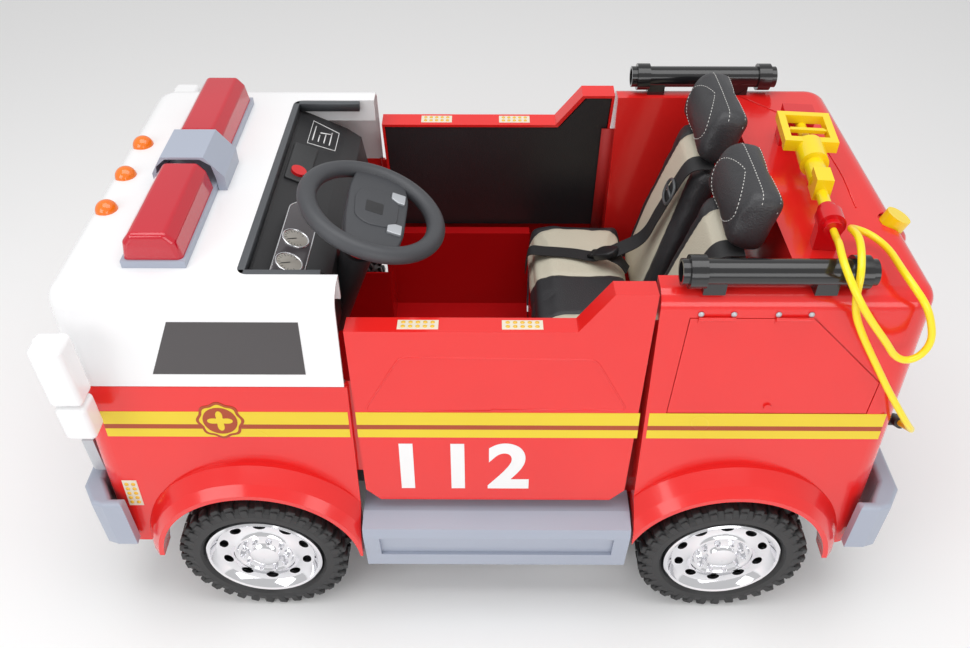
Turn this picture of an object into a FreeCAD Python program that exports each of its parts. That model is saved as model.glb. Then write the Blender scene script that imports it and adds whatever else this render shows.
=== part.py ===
import FreeCAD, Part
import math
import os

# Two-seat battery ride-on fire truck. Millimetres, +Z up, ground at z = 0.
# -X is the front of the truck, -Y is the driver's (left) side, y = 0 is the plane of symmetry.

doc = FreeCAD.newDocument("RideOnFireTruck")
SHEET = doc.addObject("Spreadsheet::Sheet", "Sizes")
V = FreeCAD.Vector
X_AXIS, Y_AXIS, Z_AXIS = V(1, 0, 0), V(0, 1, 0), V(0, 0, 1)


class Size:
    """A length with its value and the sheet expression that gives it."""

    def __init__(self, value, text):
        self.value, self.text = float(value), text

    def join(self, other, sign, value):
        text = other.text if isinstance(other, Size) else repr(float(other))
        return Size(value, f"({self.text} {sign} {text})")

    def __add__(self, other):
        return self.join(other, "+", self.value + float(other))

    def __sub__(self, other):
        return self.join(other, "-", self.value - float(other))

    def __mul__(self, other):
        return self.join(other, "*", self.value * float(other))

    def __truediv__(self, other):
        return self.join(other, "/", self.value / float(other))

    def __radd__(self, other):
        return self + other

    def __rmul__(self, other):
        return self * other

    def __rsub__(self, other):
        return (self * -1) + other

    def __neg__(self):
        return self * -1

    def __float__(self):
        return self.value


class Sizes:
    """The driving sizes, one sheet cell each, read as attributes."""

    def __init__(self):
        self.row = 0

    def cell(self, alias, value, note):
        self.row += 1
        SHEET.set(f"A{self.row}", str(value))
        SHEET.setAlias(f"A{self.row}", alias)
        SHEET.set(f"B{self.row}", note)
        setattr(self, alias, Size(value, f"Sizes.{alias}"))


s = Sizes()
CELLS = [
    ("wheel_base", 750, "front axle to rear axle"),
    ("front_axle", -371, "x of the front axle"),
    ("tyre_radius", 137.6, "outside radius of the tyre, also the axle height"),
    ("tyre_width", 96, "width of the tyre"),
    ("rim_radius", 96, "radius of the wheel cover where the tyre seats"),
    ("flare_out", 39, "fender lips and wheels beyond the body sides"),
    ("body_half", 335, "half width of the body at the door's foot"),
    ("foot_height", 245, "height of the door's foot"),
    ("lean_angle", 5.44, "inward lean of the body sides, in degrees"),
    ("body_bottom", 150, "lower edge of the body shells"),
    ("nose", 612, "front face of the shells, ahead of the middle"),
    ("tail", 602, "rear face of the shells, behind the middle"),
    ("bumper_out", 33, "bumper face beyond the body shells"),
    ("bumper_bottom", 165, "lower edge of the bumpers"),
    ("bumper_top", 268, "upper edge of the bumpers"),
    ("colour_line", 480, "height where the white cab meets the red shell"),
    ("roof", 636, "height of the cab roof"),
    ("deck", 640, "height of the rear deck"),
    ("wall", 4, "wall of the blown shells"),
    ("seam", 4, "gap at the doors"),
    ("front_seam", 207, "rear edge of the front shell, ahead of the middle"),
    ("rear_seam", 226, "front edge of the rear shell, behind the middle"),
    ("door_rail", 336, "height of the door rail above the door's foot, along the lean"),
    ("door_kick", 398, "height of the door's raised rear end, along the lean"),
    ("kick_start", 118, "where the door rail starts to rise"),
    ("kick_end", 164, "where the raised rear end starts"),
    ("door_depth", 34, "depth of the door shell"),
    ("hinge_inset", 8, "door pivot below the outer skin"),
    ("hinge_set", 5, "door pivot ahead of the front seam"),
    ("well_front", 352, "front edge of the dash well, ahead of the middle"),
    ("well_half", 249, "half width of the dash well"),
    ("arm_end", 211, "rear end of the cowl arms, ahead of the middle"),
    ("floor_top", 150, "height of the footwell floor"),
    ("tub_half", 266, "half width of the tub between the doors"),
    ("tub_rim", 335, "height of the tub's side walls"),
    ("toe_half", 186, "half width of the tub between the front wheels"),
    ("toe_front", 300, "front end of the tub, ahead of the middle"),
    ("seat_front", 70, "front of the seat cushion"),
    ("seat_height", 395, "top of the seat cushion"),
    ("seat_half", 226, "half width of the bench"),
    ("seat_rear", 262, "where the seat backs meet the cushion's top"),
    ("bulkhead", 418, "back wall of the seat well"),
    ("hub_x", -173, "steering wheel centre, along the truck"),
    ("hub_y", -130, "steering wheel centre, across the truck"),
    ("hub_z", 660, "steering wheel centre, height"),
    ("column_tilt", 21.4, "steering column from the vertical, in degrees"),
    ("column_length", 520, "steering shaft from the wheel to its crank"),
    ("grip_radius", 97, "steering wheel rim, to the middle of the grip"),
    ("grip_thick", 13, "radius of the steering wheel grip"),
    ("rail_half", 280, "roof rail tubes from the middle"),
    ("rail_height", 667.6, "height of the roof rail tubes"),
    ("rail_front", 249, "front end of the roof rail tubes"),
    ("rail_rear", 505, "rear end of the roof rail tubes"),
    ("rail_radius", 18, "radius of the roof rail tubes"),
    ("step_front", 203, "front end of the side step, ahead of the middle"),
    ("step_rear", 222, "rear end of the side step, behind the middle"),
    ("step_reach", 374, "outer face of the side step from the middle"),
    ("arch_radius", 160, "wheel arch opening"),
    ("flare_radius", 194, "outer edge of the fender flare"),
    ("axle_radius", 6, "radius of the axles and kingpins"),
    ("run_gap", 0.05, "radial clearance of a running fit"),
    ("kingpin_half", 262, "kingpins from the middle"),
    ("arm_reach", 60, "steering arm from kingpin to tie rod"),
    ("hose_radius", 5, "radius of the water hose"),
    ("cap_radius", 19, "radius of the filler cap"),
    ("bar_front", 511, "front of the light bar, ahead of the middle"),
    ("bar_rear", 422, "rear of the light bar, ahead of the middle"),
    ("bar_half", 236, "half length of the light bar"),
]
for alias, value, note in CELLS:
    s.cell(alias, value, note)
doc.recompute()
RIM_PLANE = s.body_half + s.flare_out
BUMPER_REACH = s.nose + s.bumper_out
LEAN_SLOPE = Size(math.tan(math.radians(float(s.lean_angle))), "tan(Sizes.lean_angle * 1 deg)")
OUT = []


def bind(obj, prop, size):
    """Sets a property, through the sheet where the size comes from it."""
    if isinstance(size, Size):
        obj.setExpression(prop, size.text)
    elif "." in prop:
        obj.setExpression(prop, repr(float(size)))
    else:
        setattr(obj, prop, size)


def place(obj, x=0, y=0, z=0, axis=Z_AXIS, angle=0):
    obj.Placement = FreeCAD.Placement(V(float(x), float(y), float(z)), FreeCAD.Rotation(axis, float(angle)))
    for name, size in zip("xyz", (x, y, z)):
        if isinstance(size, Size):
            obj.setExpression(f".Placement.Base.{name}", size.text)
    return obj


def box(name, x0, x1, y0, y1, z0, z1):
    obj = doc.addObject("Part::Box", name)
    bind(obj, "Length", x1 - x0)
    bind(obj, "Width", y1 - y0)
    bind(obj, "Height", z1 - z0)
    return place(obj, x0, y0, z0)


def cylinder(name, radius, height, x, y, z, axis=Z_AXIS, angle=0):
    obj = doc.addObject("Part::Cylinder", name)
    bind(obj, "Radius", radius)
    bind(obj, "Height", height)
    return place(obj, x, y, z, axis, angle)


def rod_y(name, radius, x, y0, y1, z):
    """A cylinder along Y from y0 to y1."""
    return cylinder(name, radius, y1 - y0, x, y0, z, X_AXIS, -90)


def rod_x(name, radius, x0, x1, y, z):
    """A cylinder along X from x0 to x1."""
    return cylinder(name, radius, x1 - x0, x0, y, z, Y_AXIS, 90)


def boolean(kind, name, *parts):
    obj = doc.addObject(kind, name)
    if kind == "Part::Cut":
        obj.Base, obj.Tool = parts
    else:
        obj.Shapes = list(parts)
    return obj


def cut(name, base, *tools):
    tool = tools[0] if len(tools) == 1 else boolean("Part::MultiFuse", name + "_tools", *tools)
    return boolean("Part::Cut", name, base, tool)


def fuse(name, *parts):
    return boolean("Part::MultiFuse", name, *parts)


def common(name, *parts):
    return boolean("Part::MultiCommon", name, *parts)


def group(name, *parts):
    """Separate solids that share one node."""
    obj = doc.addObject("Part::Compound", name)
    obj.Links = list(parts)
    return obj


def mirror(name, source):
    obj = doc.addObject("Part::Mirroring", name)
    obj.Source = source
    obj.Normal = Y_AXIS
    return obj


def keep(obj, name=None):
    """Marks an object as a node of the finished truck."""
    if name:
        obj.Label = name
    OUT.append(obj)
    return obj


def sketch(body, role, points, name):
    """A closed outline on one of the body's own planes, each corner tied to the sheet."""
    plane = [f for f in body.Origin.OriginFeatures if f.Role == role][0]
    drawing = body.newObject("Sketcher::SketchObject", name)
    drawing.AttachmentSupport = [(plane, "")]
    drawing.MapMode = "FlatFace"
    corners = [V(float(a), float(b), 0) for a, b in points]
    lines = [Part.LineSegment(p, q) for p, q in zip(corners, corners[1:] + corners[:1])]
    drawing.addGeometry(lines, False)
    hold_points(drawing, points)
    return drawing


def hold_points(drawing, points):
    import Sketcher
    count = len(points)
    for i in range(count):
        drawing.addConstraint(Sketcher.Constraint("Coincident", i, 2, (i + 1) % count, 1))
    for i, corner in enumerate(points):
        for kind, size in zip(("DistanceX", "DistanceY"), corner):
            index = drawing.addConstraint(Sketcher.Constraint(kind, -1, 1, i, 1, float(size)))
            if isinstance(size, Size):
                drawing.setExpression(f"Constraints[{index}]", size.text)


def pad(name, role, points, depth, both=False):
    """A body padded from one outline; both sides of its plane when both is set."""
    body = doc.addObject("PartDesign::Body", name)
    drawing = sketch(body, role, points, name + "_outline")
    feature = body.newObject("PartDesign::Pad", name + "_pad")
    feature.Profile = drawing
    bind(feature, "Length", depth)
    feature.Midplane = both
    return body


def turned(name, points, angle=360):
    """A body revolved about its own X axis; points are (along the axis, radius)."""
    body = doc.addObject("PartDesign::Body", name)
    drawing = sketch(body, "XY_Plane", points, name + "_outline")
    feature = body.newObject("PartDesign::Revolution", name + "_turn")
    feature.Profile = drawing
    feature.ReferenceAxis = ([f for f in body.Origin.OriginFeatures if f.Role == "X_Axis"][0], [""])
    feature.Angle = angle
    return body


def rounded(name, source, radius, wanted):
    """A fillet on every edge that the test picks."""
    doc.recompute()
    obj = doc.addObject("Part::Fillet", name)
    obj.Base = source
    picked = [i + 1 for i, edge in enumerate(source.Shape.Edges) if wanted(edge)]
    obj.Edges = [(i, radius, radius) for i in picked]
    return obj


def along(edge, axis):
    """True for a straight edge that runs along the axis, within a degree."""
    if edge.Curve.TypeId != "Part::GeomLine":
        return False
    return abs(edge.tangentAt(edge.FirstParameter).dot(axis)) > math.cos(math.radians(12))


def side_half(height):
    """Half width of the leaning body side at a height."""
    return s.body_half - (height - s.foot_height) * LEAN_SLOPE


# ---------------------------------------------------------------- body shells
def envelope(name, x0, x1, z0, z1, inset):
    """A block with the truck's leaning sides, from x0 to x1."""
    low, high = side_half(z0) - inset, side_half(z1) - inset
    points = [(-low, z0), (low, z0), (high, z1), (-high, z1)]
    return place(pad(name, "YZ_Plane", points, x1 - x0), x=x0)


def flare(name, x):
    """A fender lip round the wheel arch, thick at the body and thin at its outer edge."""
    z = s.tyre_radius
    inner = s.body_half - 24
    ring = [(-RIM_PLANE, s.arch_radius), (-RIM_PLANE, s.arch_radius + 8),
            (-RIM_PLANE + 14, s.arch_radius + 20), (-s.body_half, s.flare_radius),
            (-inner, s.flare_radius), (-inner, s.arch_radius)]
    body = turned(name + "_ring", ring)
    place(body, x, 0, z, Z_AXIS, 90)
    reach = s.flare_radius + 10
    keep_box = box(name + "_upper", x - reach, x + reach, -RIM_PLANE - 10, -s.arch_radius,
                   s.body_bottom, z + reach)
    return common(name, body, keep_box)


FILLER = (566, -122, 575)


def on_filler(name, *parts):
    """Parts drawn on the leaning filler neck's own axis, set on the truck."""
    obj = group(name, *parts)
    obj.Placement = FreeCAD.Placement(V(*FILLER), FreeCAD.Rotation(Y_AXIS, 22))
    return obj


def both_sides(name, source):
    return fuse(name, source, mirror(name + "_mirror", source))


def front_shell():
    """Red lower front: one blown shell with the wheel arches and fender flares."""
    rear = -s.front_seam
    outer = envelope("front_outer", -s.nose, rear, s.body_bottom, s.colour_line, 0)
    outer = rounded("front_soft", outer, 38, lambda e: along(e, Z_AXIS) and e.CenterOfMass.x < -600)
    inner = envelope("front_inner", -s.nose + s.wall, rear + 10, s.body_bottom - 10,
                     s.colour_line + 10, s.wall)
    inner = rounded("front_hollow", inner, 34, lambda e: along(e, Z_AXIS) and e.CenterOfMass.x < -600)
    shell = cut("front_walls", outer, inner)
    arch = rod_y("front_arch", s.arch_radius, s.front_axle, -RIM_PLANE - 10, RIM_PLANE + 10,
                 s.tyre_radius)
    shell = cut("front_arched", shell, arch)
    flares = both_sides("front_flares", flare("front_flare", s.front_axle))
    flares = cut("front_flares_clear", flares,
                 envelope("front_flare_core", -s.nose, rear + 40, s.body_bottom - 20, s.colour_line, s.wall))
    behind = box("front_behind", rear, rear + 80, -RIM_PLANE - 20, RIM_PLANE + 20, 0, s.colour_line)
    shell = fuse("front_joined", shell, cut("front_flares_trim", flares, behind))
    keep(shell, "front_shell")


def cab_shell():
    """White cab: roof, screen and side panels with the dash well open to the rear."""
    front, rear, low = -s.nose + 4, -s.arm_end, s.colour_line + 1
    outer = envelope("cab_outer", front, rear, low, s.roof, 0)
    outer = rounded("cab_corners", outer, 38, lambda e: along(e, Z_AXIS) and e.CenterOfMass.x < -600)
    outer = rounded("cab_soft", outer, 26, lambda e: e.CenterOfMass.z > 630 and e.CenterOfMass.x < -230)
    inner = envelope("cab_inner", front + s.wall, rear + 10, low - 10, s.roof - s.wall, s.wall)
    inner = rounded("cab_inner_corners", inner, 34, lambda e: along(e, Z_AXIS) and e.CenterOfMass.x < -600)
    inner = rounded("cab_hollow", inner, 22, lambda e: e.CenterOfMass.z > 628 and e.CenterOfMass.x < -230)
    shell = cut("cab_walls", outer, inner)
    well = box("dash_well", -s.well_front, rear + 20, -s.well_half, s.well_half, low - 20, s.roof + 20)
    well = rounded("dash_well_soft", well, 16, lambda e: along(e, Z_AXIS) and e.CenterOfMass.x < -300)
    lip_out = box("well_lip_out", -s.well_front - s.wall, rear, -s.well_half - s.wall,
                  s.well_half + s.wall, s.roof - 40, s.roof - 1)
    lip = common("well_lip", lip_out, envelope("lip_limit", front, rear, low, s.roof, 6))
    keep(cut("cab_open", fuse("cab_lipped", shell, lip), well), "cab_shell")


def hatch_outline(gap):
    """The side hatch, as (along the truck, up the leaning side), grown by a gap."""
    return [(s.rear_seam + 31 - gap, 190 - gap), (s.rear_seam + 42 - gap, 360 + gap),
            (s.rear_seam + 209 + gap, 360 + gap), (s.rear_seam + 325 + gap, 248 + gap),
            (s.rear_seam + 321 + gap, 190 - gap)]


def lean_pad(name, points, depth, start):
    """A plate that follows the leaning left side, from start to start + depth below the skin."""
    body = pad(name, "XZ_Plane", points, depth)
    body.Placement = lean_place(start + depth)
    return body


def lean_place(inset):
    """The frame of the left side: X along the truck, Z up the lean, Y inwards."""
    turn = FreeCAD.Rotation(X_AXIS, -float(s.lean_angle))
    base = V(0, -float(s.body_half), float(s.foot_height)) + turn.multVec(V(0, float(inset), 0))
    return FreeCAD.Placement(base, turn)


def rear_shell():
    """Red rear body: sides, tail, deck and the seat well, with the rear fender flares."""
    front, rear = s.rear_seam, s.tail
    outer = envelope("rear_outer", front, rear, s.body_bottom, s.deck, 0)
    outer = rounded("rear_corners", outer, 38, lambda e: along(e, Z_AXIS) and e.CenterOfMass.x > 590)
    outer = rounded("rear_soft", outer, 26, lambda e: e.CenterOfMass.z > 635 and e.CenterOfMass.x > 235)
    inner = envelope("rear_inner", front + s.wall, rear - s.wall, s.body_bottom - 10,
                     s.deck - s.wall, s.wall)
    inner = rounded("rear_in_corners", inner, 34, lambda e: along(e, Z_AXIS) and e.CenterOfMass.x > 590)
    inner = rounded("rear_hollow", inner, 22, lambda e: e.CenterOfMass.z > 630 and e.CenterOfMass.x > 235)
    well = box("seat_well", front - 10, s.bulkhead, -s.well_half - 4, s.well_half + 4, s.body_bottom - 20,
               s.deck + 20)
    jacket = box("seat_well_jacket", front, s.bulkhead + s.wall, -s.well_half - 8, s.well_half + 8,
                 s.body_bottom + 160, s.deck - 2)
    walls = cut("rear_walls", fuse("rear_body", cut("rear_skin", outer, inner), jacket), well)
    backing = lean_pad("hatch_backing", hatch_outline(8), s.wall + 3, 0.5)
    walls = fuse("rear_backed", walls, both_sides("hatch_backings", backing))
    recess = lean_pad("hatch_recess", hatch_outline(1.5), 13.5, -10)
    walls = cut("rear_recessed", walls, both_sides("hatch_recesses", recess))
    axle_x = s.front_axle + s.wheel_base
    arch = rod_y("rear_arch", s.arch_radius, axle_x, -RIM_PLANE - 10, RIM_PLANE + 10, s.tyre_radius)
    walls = cut("rear_arched", walls, arch)
    flares = both_sides("rear_flares", flare("rear_flare", axle_x))
    flares = cut("rear_flares_clear", flares,
                 envelope("rear_flare_core", front - 40, rear, s.body_bottom - 20, s.colour_line, s.wall))
    before = box("rear_before", front - 80, front, -RIM_PLANE - 20, RIM_PLANE + 20, 0, s.colour_line)
    flares = cut("rear_flares_trim", flares, before)
    neck = cylinder("filler_neck", s.cap_radius + 13, 60, *FILLER, Y_AXIS, 22)
    neck = rounded("filler_neck_soft", neck, 12, lambda e: e.CenterOfMass.z > 600)
    bore = cylinder("filler_bore", s.cap_radius - 6, 90, 0, 0, -16)
    room = cylinder("cap_room", s.cap_radius + 4, 60, 0, 0, 60)
    walls = fuse("rear_joined", walls, flares, neck)
    keep(cut("rear_open", walls, on_filler("filler_room", bore, room)), "rear_shell")


front_shell()
cab_shell()
rear_shell()


# ---------------------------------------------------------------- doors and hatches
def door_outline(gap):
    """The door, as (along the truck, up the leaning side), drawn in by a gap."""
    front, rear = -s.front_seam + s.seam + gap, s.rear_seam - s.seam - gap
    return [(front + 7, 26), (front + 29, 4 + gap), (rear - 34, 4 + gap), (rear - 12, 26),
            (rear, s.door_kick - gap), (s.kick_end + gap, s.door_kick - gap),
            (s.kick_start + gap, s.door_rail - gap), (front, s.door_rail - gap)]


def doors():
    skin, rim = s.wall + 1, s.wall + 1
    full = lean_pad("door_full", door_outline(0), s.door_depth, 0)
    hollow = lean_pad("door_hollow", door_outline(5), s.door_depth, skin)
    shell = cut("door_pan", full, hollow)
    pivot = -s.front_seam - s.hinge_set
    leaf = box("door_leaf", pivot, -s.front_seam + s.seam + rim, 9.5, 11.5, 60, 240)
    knuckle = cylinder("door_knuckle", 3.5, 180, pivot, s.hinge_inset, 60)
    moving = fuse("door_leafed", leaf, knuckle)
    bore = cylinder("door_bore", 2 + s.run_gap, 190, pivot, s.hinge_inset, 55)
    gaps = group("door_knuckle_gaps", box("door_gap_a", pivot - 6, pivot + 3.8, 0, 18, 99, 141),
                 box("door_gap_b", pivot - 6, pivot + 3.8, 0, 18, 159, 201))
    moving = cut("door_moving_leaf", moving, bore, gaps)
    moving = local(moving, "door_leaf_placed")
    keep(fuse("door_shell_left", shell, moving), "door_left")
    keep(mirror("door_shell_right", OUT[-1]), "door_right")
    low = 95
    panel_pts = [(-s.front_seam + s.seam + rim + 6.5, low), (s.rear_seam - s.seam - rim - 12, low),
                 (s.rear_seam - s.seam - rim - 1.5, s.door_kick - 6), (s.kick_end + 8, s.door_kick - 6),
                 (s.kick_start + 8, s.door_rail - 6), (-s.front_seam + s.seam + rim + 0.5, s.door_rail - 6)]
    panel = lean_pad("door_panel_plate", panel_pts, 4, s.door_depth - 6)
    keep(panel, "door_left_panel")
    keep(mirror("door_panel_right", panel), "door_right_panel")
    pin = cylinder("door_pin", 2, 186, pivot, s.hinge_inset, 57)
    fixed_leaf = fuse("door_fixed_leaf", cylinder("door_lug_a", 3.5, 41, pivot, s.hinge_inset, 99.5),
                      cylinder("door_lug_b", 3.5, 41, pivot, s.hinge_inset, 159.5), pin,
                      box("door_plate_a", pivot - 22, pivot, 9, 11.4, 99.5, 140.5),
                      box("door_plate_b", pivot - 22, pivot, 9, 11.4, 159.5, 200.5),
                      box("door_mount", pivot - 22, pivot - 8, s.wall, 9, 99.5, 200.5))
    left = local(fixed_leaf, "door_hinge_left")
    left = group("fixed_pivots_left", left, mirror_bracket())
    keep(group("door_hinge_pair", left, mirror("door_hinge_right", left)), "door_hinges")


MIRROR_PIVOT = (-596, -320, 452)


def mirror_bracket():
    """Bracket on the front shell with the pin that the left mirror turns on."""
    x, y, z = MIRROR_PIVOT
    foot = box("bracket_foot", x - 8, x + 8, y - 8, y + 30, z - 14, z - 8.4)
    foot = cut("bracket_fitted", foot, doc.getObject("front_soft"))
    return fuse("mirror_bracket", foot, cylinder("bracket_pin", 3, 22, x, y, z - 12))


def local(source, name):
    """The same solid, moved from the flat side frame onto the leaning left side."""
    obj = doc.addObject("Part::Compound", name)
    obj.Links = [source]
    obj.Placement = lean_place(0)
    return obj


def hatches():
    plate = lean_pad("hatch_plate", hatch_outline(0), 2.6, 0.2)
    axis_up, out = 361.5, -3.4
    barrels = []
    for i, start in enumerate((s.rear_seam + 52, s.rear_seam + 156)):
        barrels.append(rod_x(f"hatch_barrel_{i}", 3, start, start + 50, out, axis_up))
        barrels.append(box(f"hatch_leaf_{i}", start, start + 50, -1, 0.4, axis_up - 9, axis_up))
    latch = rod_y("hatch_latch", 6, s.rear_seam + 175, -3, 0.3, 202)
    moving = local(fuse("hatch_hinges", *barrels, latch), "hatch_hinges_placed")
    keep(fuse("hatch_left_all", plate, moving), "hatch_left")
    keep(mirror("hatch_right_all", OUT[-1]), "hatch_right")


doors()
hatches()


# ---------------------------------------------------------------- chassis and lower body
def chassis():
    """Moulded underbody tray with the kingpin forks at the front and the axle saddles at the rear."""
    narrow, wide = s.toe_half - 4, s.tub_half - 12
    low, high = 100, 132
    points = [(-560, -narrow), (-s.front_seam + 6, -narrow), (-s.front_seam + 6, -wide), (230, -wide),
              (230, -narrow), (570, -narrow), (570, narrow), (230, narrow), (230, wide),
              (-s.front_seam + 6, wide), (-s.front_seam + 6, narrow), (-560, narrow)]
    tray = place(pad("tray_plate", "XY_Plane", points, high - low), z=low)

    hollow = box("tray_hollow", -552, 562, -narrow + 8, narrow - 8, low + 6, high + 5)
    ears = []
    for side in (-1, 1):
        for z0, z1 in ((98, 110), (166, 178)):
            ears.append(box("ear", s.front_axle - 10, s.front_axle + 10, min(side * 170, side * 271),
                            max(side * 170, side * 271), z0, z1))
        ears.append(box("ear_post", s.front_axle - 16, s.front_axle + 16, min(side * 170, side * 182),
                        max(side * 170, side * 182), 98, 178))
    bores = [cylinder("kingpin_bore", s.axle_radius + s.run_gap, 100, s.front_axle, side * s.kingpin_half, 90)
             for side in (-1, 1)]
    saddles = [box("axle_saddle", s.front_axle + s.wheel_base - 16, s.front_axle + s.wheel_base + 16,
                   min(side * 150, side * 178), max(side * 150, side * 178), low, 158) for side in (-1, 1)]
    axle_bore = rod_y("axle_bore", s.axle_radius + s.run_gap, s.front_axle + s.wheel_base, -200, 200, s.tyre_radius)
    body = fuse("tray_fused", cut("tray_hollowed", tray, hollow), *ears, *saddles)
    keep(cut("tray_bored", body, axle_bore, *bores), "chassis_tray")
    keep(rod_y("rear_axle", s.axle_radius, s.front_axle + s.wheel_base, -RIM_PLANE + 2, RIM_PLANE - 2,
               s.tyre_radius))


def tub():
    """Red floor tub: a tray between the doors with a narrower toe end between the front wheels."""
    floor_low = s.floor_top - s.wall
    rear, mid = s.seat_front + 8, -s.front_seam + 3
    wide = box("tub_wide", mid, rear, -s.tub_half, s.tub_half, floor_low, s.tub_rim)
    toe = box("tub_toe", -s.toe_front, mid, -s.toe_half, s.toe_half, floor_low, s.tub_rim - 40)
    hollow = box("tub_hollow", mid + s.wall, rear + 10, -s.tub_half + s.wall, s.tub_half - s.wall,
                 s.floor_top, s.tub_rim + 10)
    toe_hollow = box("toe_hollow", -s.toe_front + s.wall, mid + 10, -s.toe_half + s.wall, s.toe_half - s.wall,
                     s.floor_top, s.tub_rim + 10)
    ledges = [box("tub_ledge", mid, rear, min(side * s.tub_half, side * 284, key=float),
                  max(side * s.tub_half, side * 284, key=float), s.tub_rim - s.wall, s.tub_rim)
              for side in (-1, 1)]
    shell = cut("tub_shell", fuse("tub_fused", wide, toe, *ledges), hollow, toe_hollow)
    keep(shell, "floor_tub")


def bumper(name, sign):
    """Wrap-round bumper: a U in plan with a leaning lower face."""
    face, back, end = BUMPER_REACH * sign, (BUMPER_REACH - 26) * sign, (s.nose - 38) * sign
    half = s.body_half + 28
    points = [(face, -half + 40), (face - 22 * sign, -half + 6), (face - 40 * sign, -half), (end, -half),
              (end, -half + 15), (back - 24 * sign, -half + 15), (back, -half + 56), (back, half - 56),
              (back - 24 * sign, half - 15), (end, half - 15), (end, half), (face - 40 * sign, half),
              (face - 22 * sign, half - 6), (face, half - 40)]
    body = place(pad(name + "_block", "XY_Plane", points, s.bumper_top - s.bumper_bottom), z=s.bumper_bottom)
    soft = rounded(name + "_soft", body, 7, lambda e: e.CenterOfMass.z > float(s.bumper_top) - 1 and abs(e.CenterOfMass.x) > 560)
    keep(soft, name)


def steps():
    """Side steps with a slanted tread face and a recess for the tread strip."""
    points = [(-298, 112), (-364, 112), (-s.step_reach, 200), (-s.step_reach + 3, 219), (-340, 227), (-298, 227)]
    left = place(pad("step_block", "YZ_Plane", points, s.step_front + s.step_rear), x=-s.step_front)
    recess_pts = [(-376, 146), (-362, 146), (-367.5, 196), (-380, 196)]
    recess = place(pad("step_recess", "YZ_Plane", recess_pts, s.step_front + s.step_rear - 50), x=-s.step_front + 25)
    left = cut("step_left", left, recess)
    keep(group("step_pair", left, mirror("step_right", left)), "side_steps")


chassis()
tub()
bumper("front_bumper", -1)
bumper("rear_bumper", 1)
steps()


# ---------------------------------------------------------------- wheels and steering
def wheel(tag, x, side):
    """Blow-moulded tyre with a plated rim disc seated inside it."""
    half, shoulder = s.tyre_width / 2, s.tyre_radius
    middle = RIM_PLANE - half - 1
    tyre_pts = [(-half, s.rim_radius + 6), (-half, shoulder - 14), (-half + 12, shoulder), (half - 12, shoulder),
                (half, shoulder - 14), (half, s.rim_radius + 6), (half - 12, s.rim_radius),
                (-half + 12, s.rim_radius)]
    tyre = turned(f"tyre_{tag}", tyre_pts)
    tyre.Placement = FreeCAD.Placement(V(float(x), side * float(middle), float(s.tyre_radius)),
                                       FreeCAD.Rotation(Z_AXIS, 90 * side))
    keep(tyre)
    seat = s.rim_radius - 0.2
    rim_pts = [(-half + 14, s.axle_radius + s.run_gap), (half - 24, s.axle_radius + s.run_gap),
               (half - 24, 16), (half, 16), (half, 30), (half - 12, 46), (half - 18, 74), (half - 6, 90),
               (half - 8, seat), (-half + 14, seat), (-half + 14, seat - 4), (half - 22, seat - 6),
               (half - 30, 60), (half - 30, 24), (-half + 14, 18)]
    rim = turned(f"wheel_{tag}", rim_pts)
    rim.Placement = tyre.Placement
    keep(rim)


def front_links():
    """Knuckles with kingpin, stub axle and steering arm, and the tie rod that joins them."""
    for tag, side in (("left", -1), ("right", 1)):
        pin_y = s.kingpin_half * side
        near, far = s.kingpin_half, RIM_PLANE - 2
        kingpin = cylinder(f"kingpin_{tag}", s.axle_radius, 88, s.front_axle, pin_y, 94)
        hub = box(f"knuckle_block_{tag}", s.front_axle - 14, s.front_axle + 14, pin_y - 11, pin_y + 11, 111, 165)
        ends = sorted((near * side, far * side), key=float)
        stub = rod_y(f"stub_{tag}", s.axle_radius, s.front_axle, ends[0], ends[1], s.tyre_radius)
        arm = box(f"steer_arm_{tag}", s.front_axle + 10, s.front_axle + s.arm_reach + 8, pin_y - 6, pin_y + 6,
                  144, 152)
        ball = cylinder(f"arm_pin_{tag}", 4, 20, s.front_axle + s.arm_reach, pin_y, 146)
        keep(fuse(f"knuckle_{tag}_all", kingpin, hub, stub, arm, ball), f"knuckle_{tag}")
    rod_x_at = s.front_axle + s.arm_reach
    rail = box("tie_rail", rod_x_at - 7, rod_x_at + 7, -s.kingpin_half - 9, s.kingpin_half + 9, 154, 162)
    slots = [box("tie_slot", rod_x_at - 20, rod_x_at + 4.6, side * s.kingpin_half - 6, side * s.kingpin_half + 6,
                 150, 170) for side in (-1, 1)]
    cheeks = [box("tie_cheek", rod_x_at - 41, rod_x_at + 7, s.hub_y + a, s.hub_y + b, 154, 158)
              for a, b in ((-14, -6.5), (6.5, 14))]
    keep(fuse("tie_rod_all", cut("tie_bar", rail, *slots), *cheeks), "tie_rod")


def column_point(distance):
    """A point on the steering column, measured down from the wheel centre."""
    tilt = math.radians(float(s.column_tilt))
    return (float(s.hub_x) - distance * math.sin(tilt), float(s.hub_y),
            float(s.hub_z) - distance * math.cos(tilt))


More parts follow.
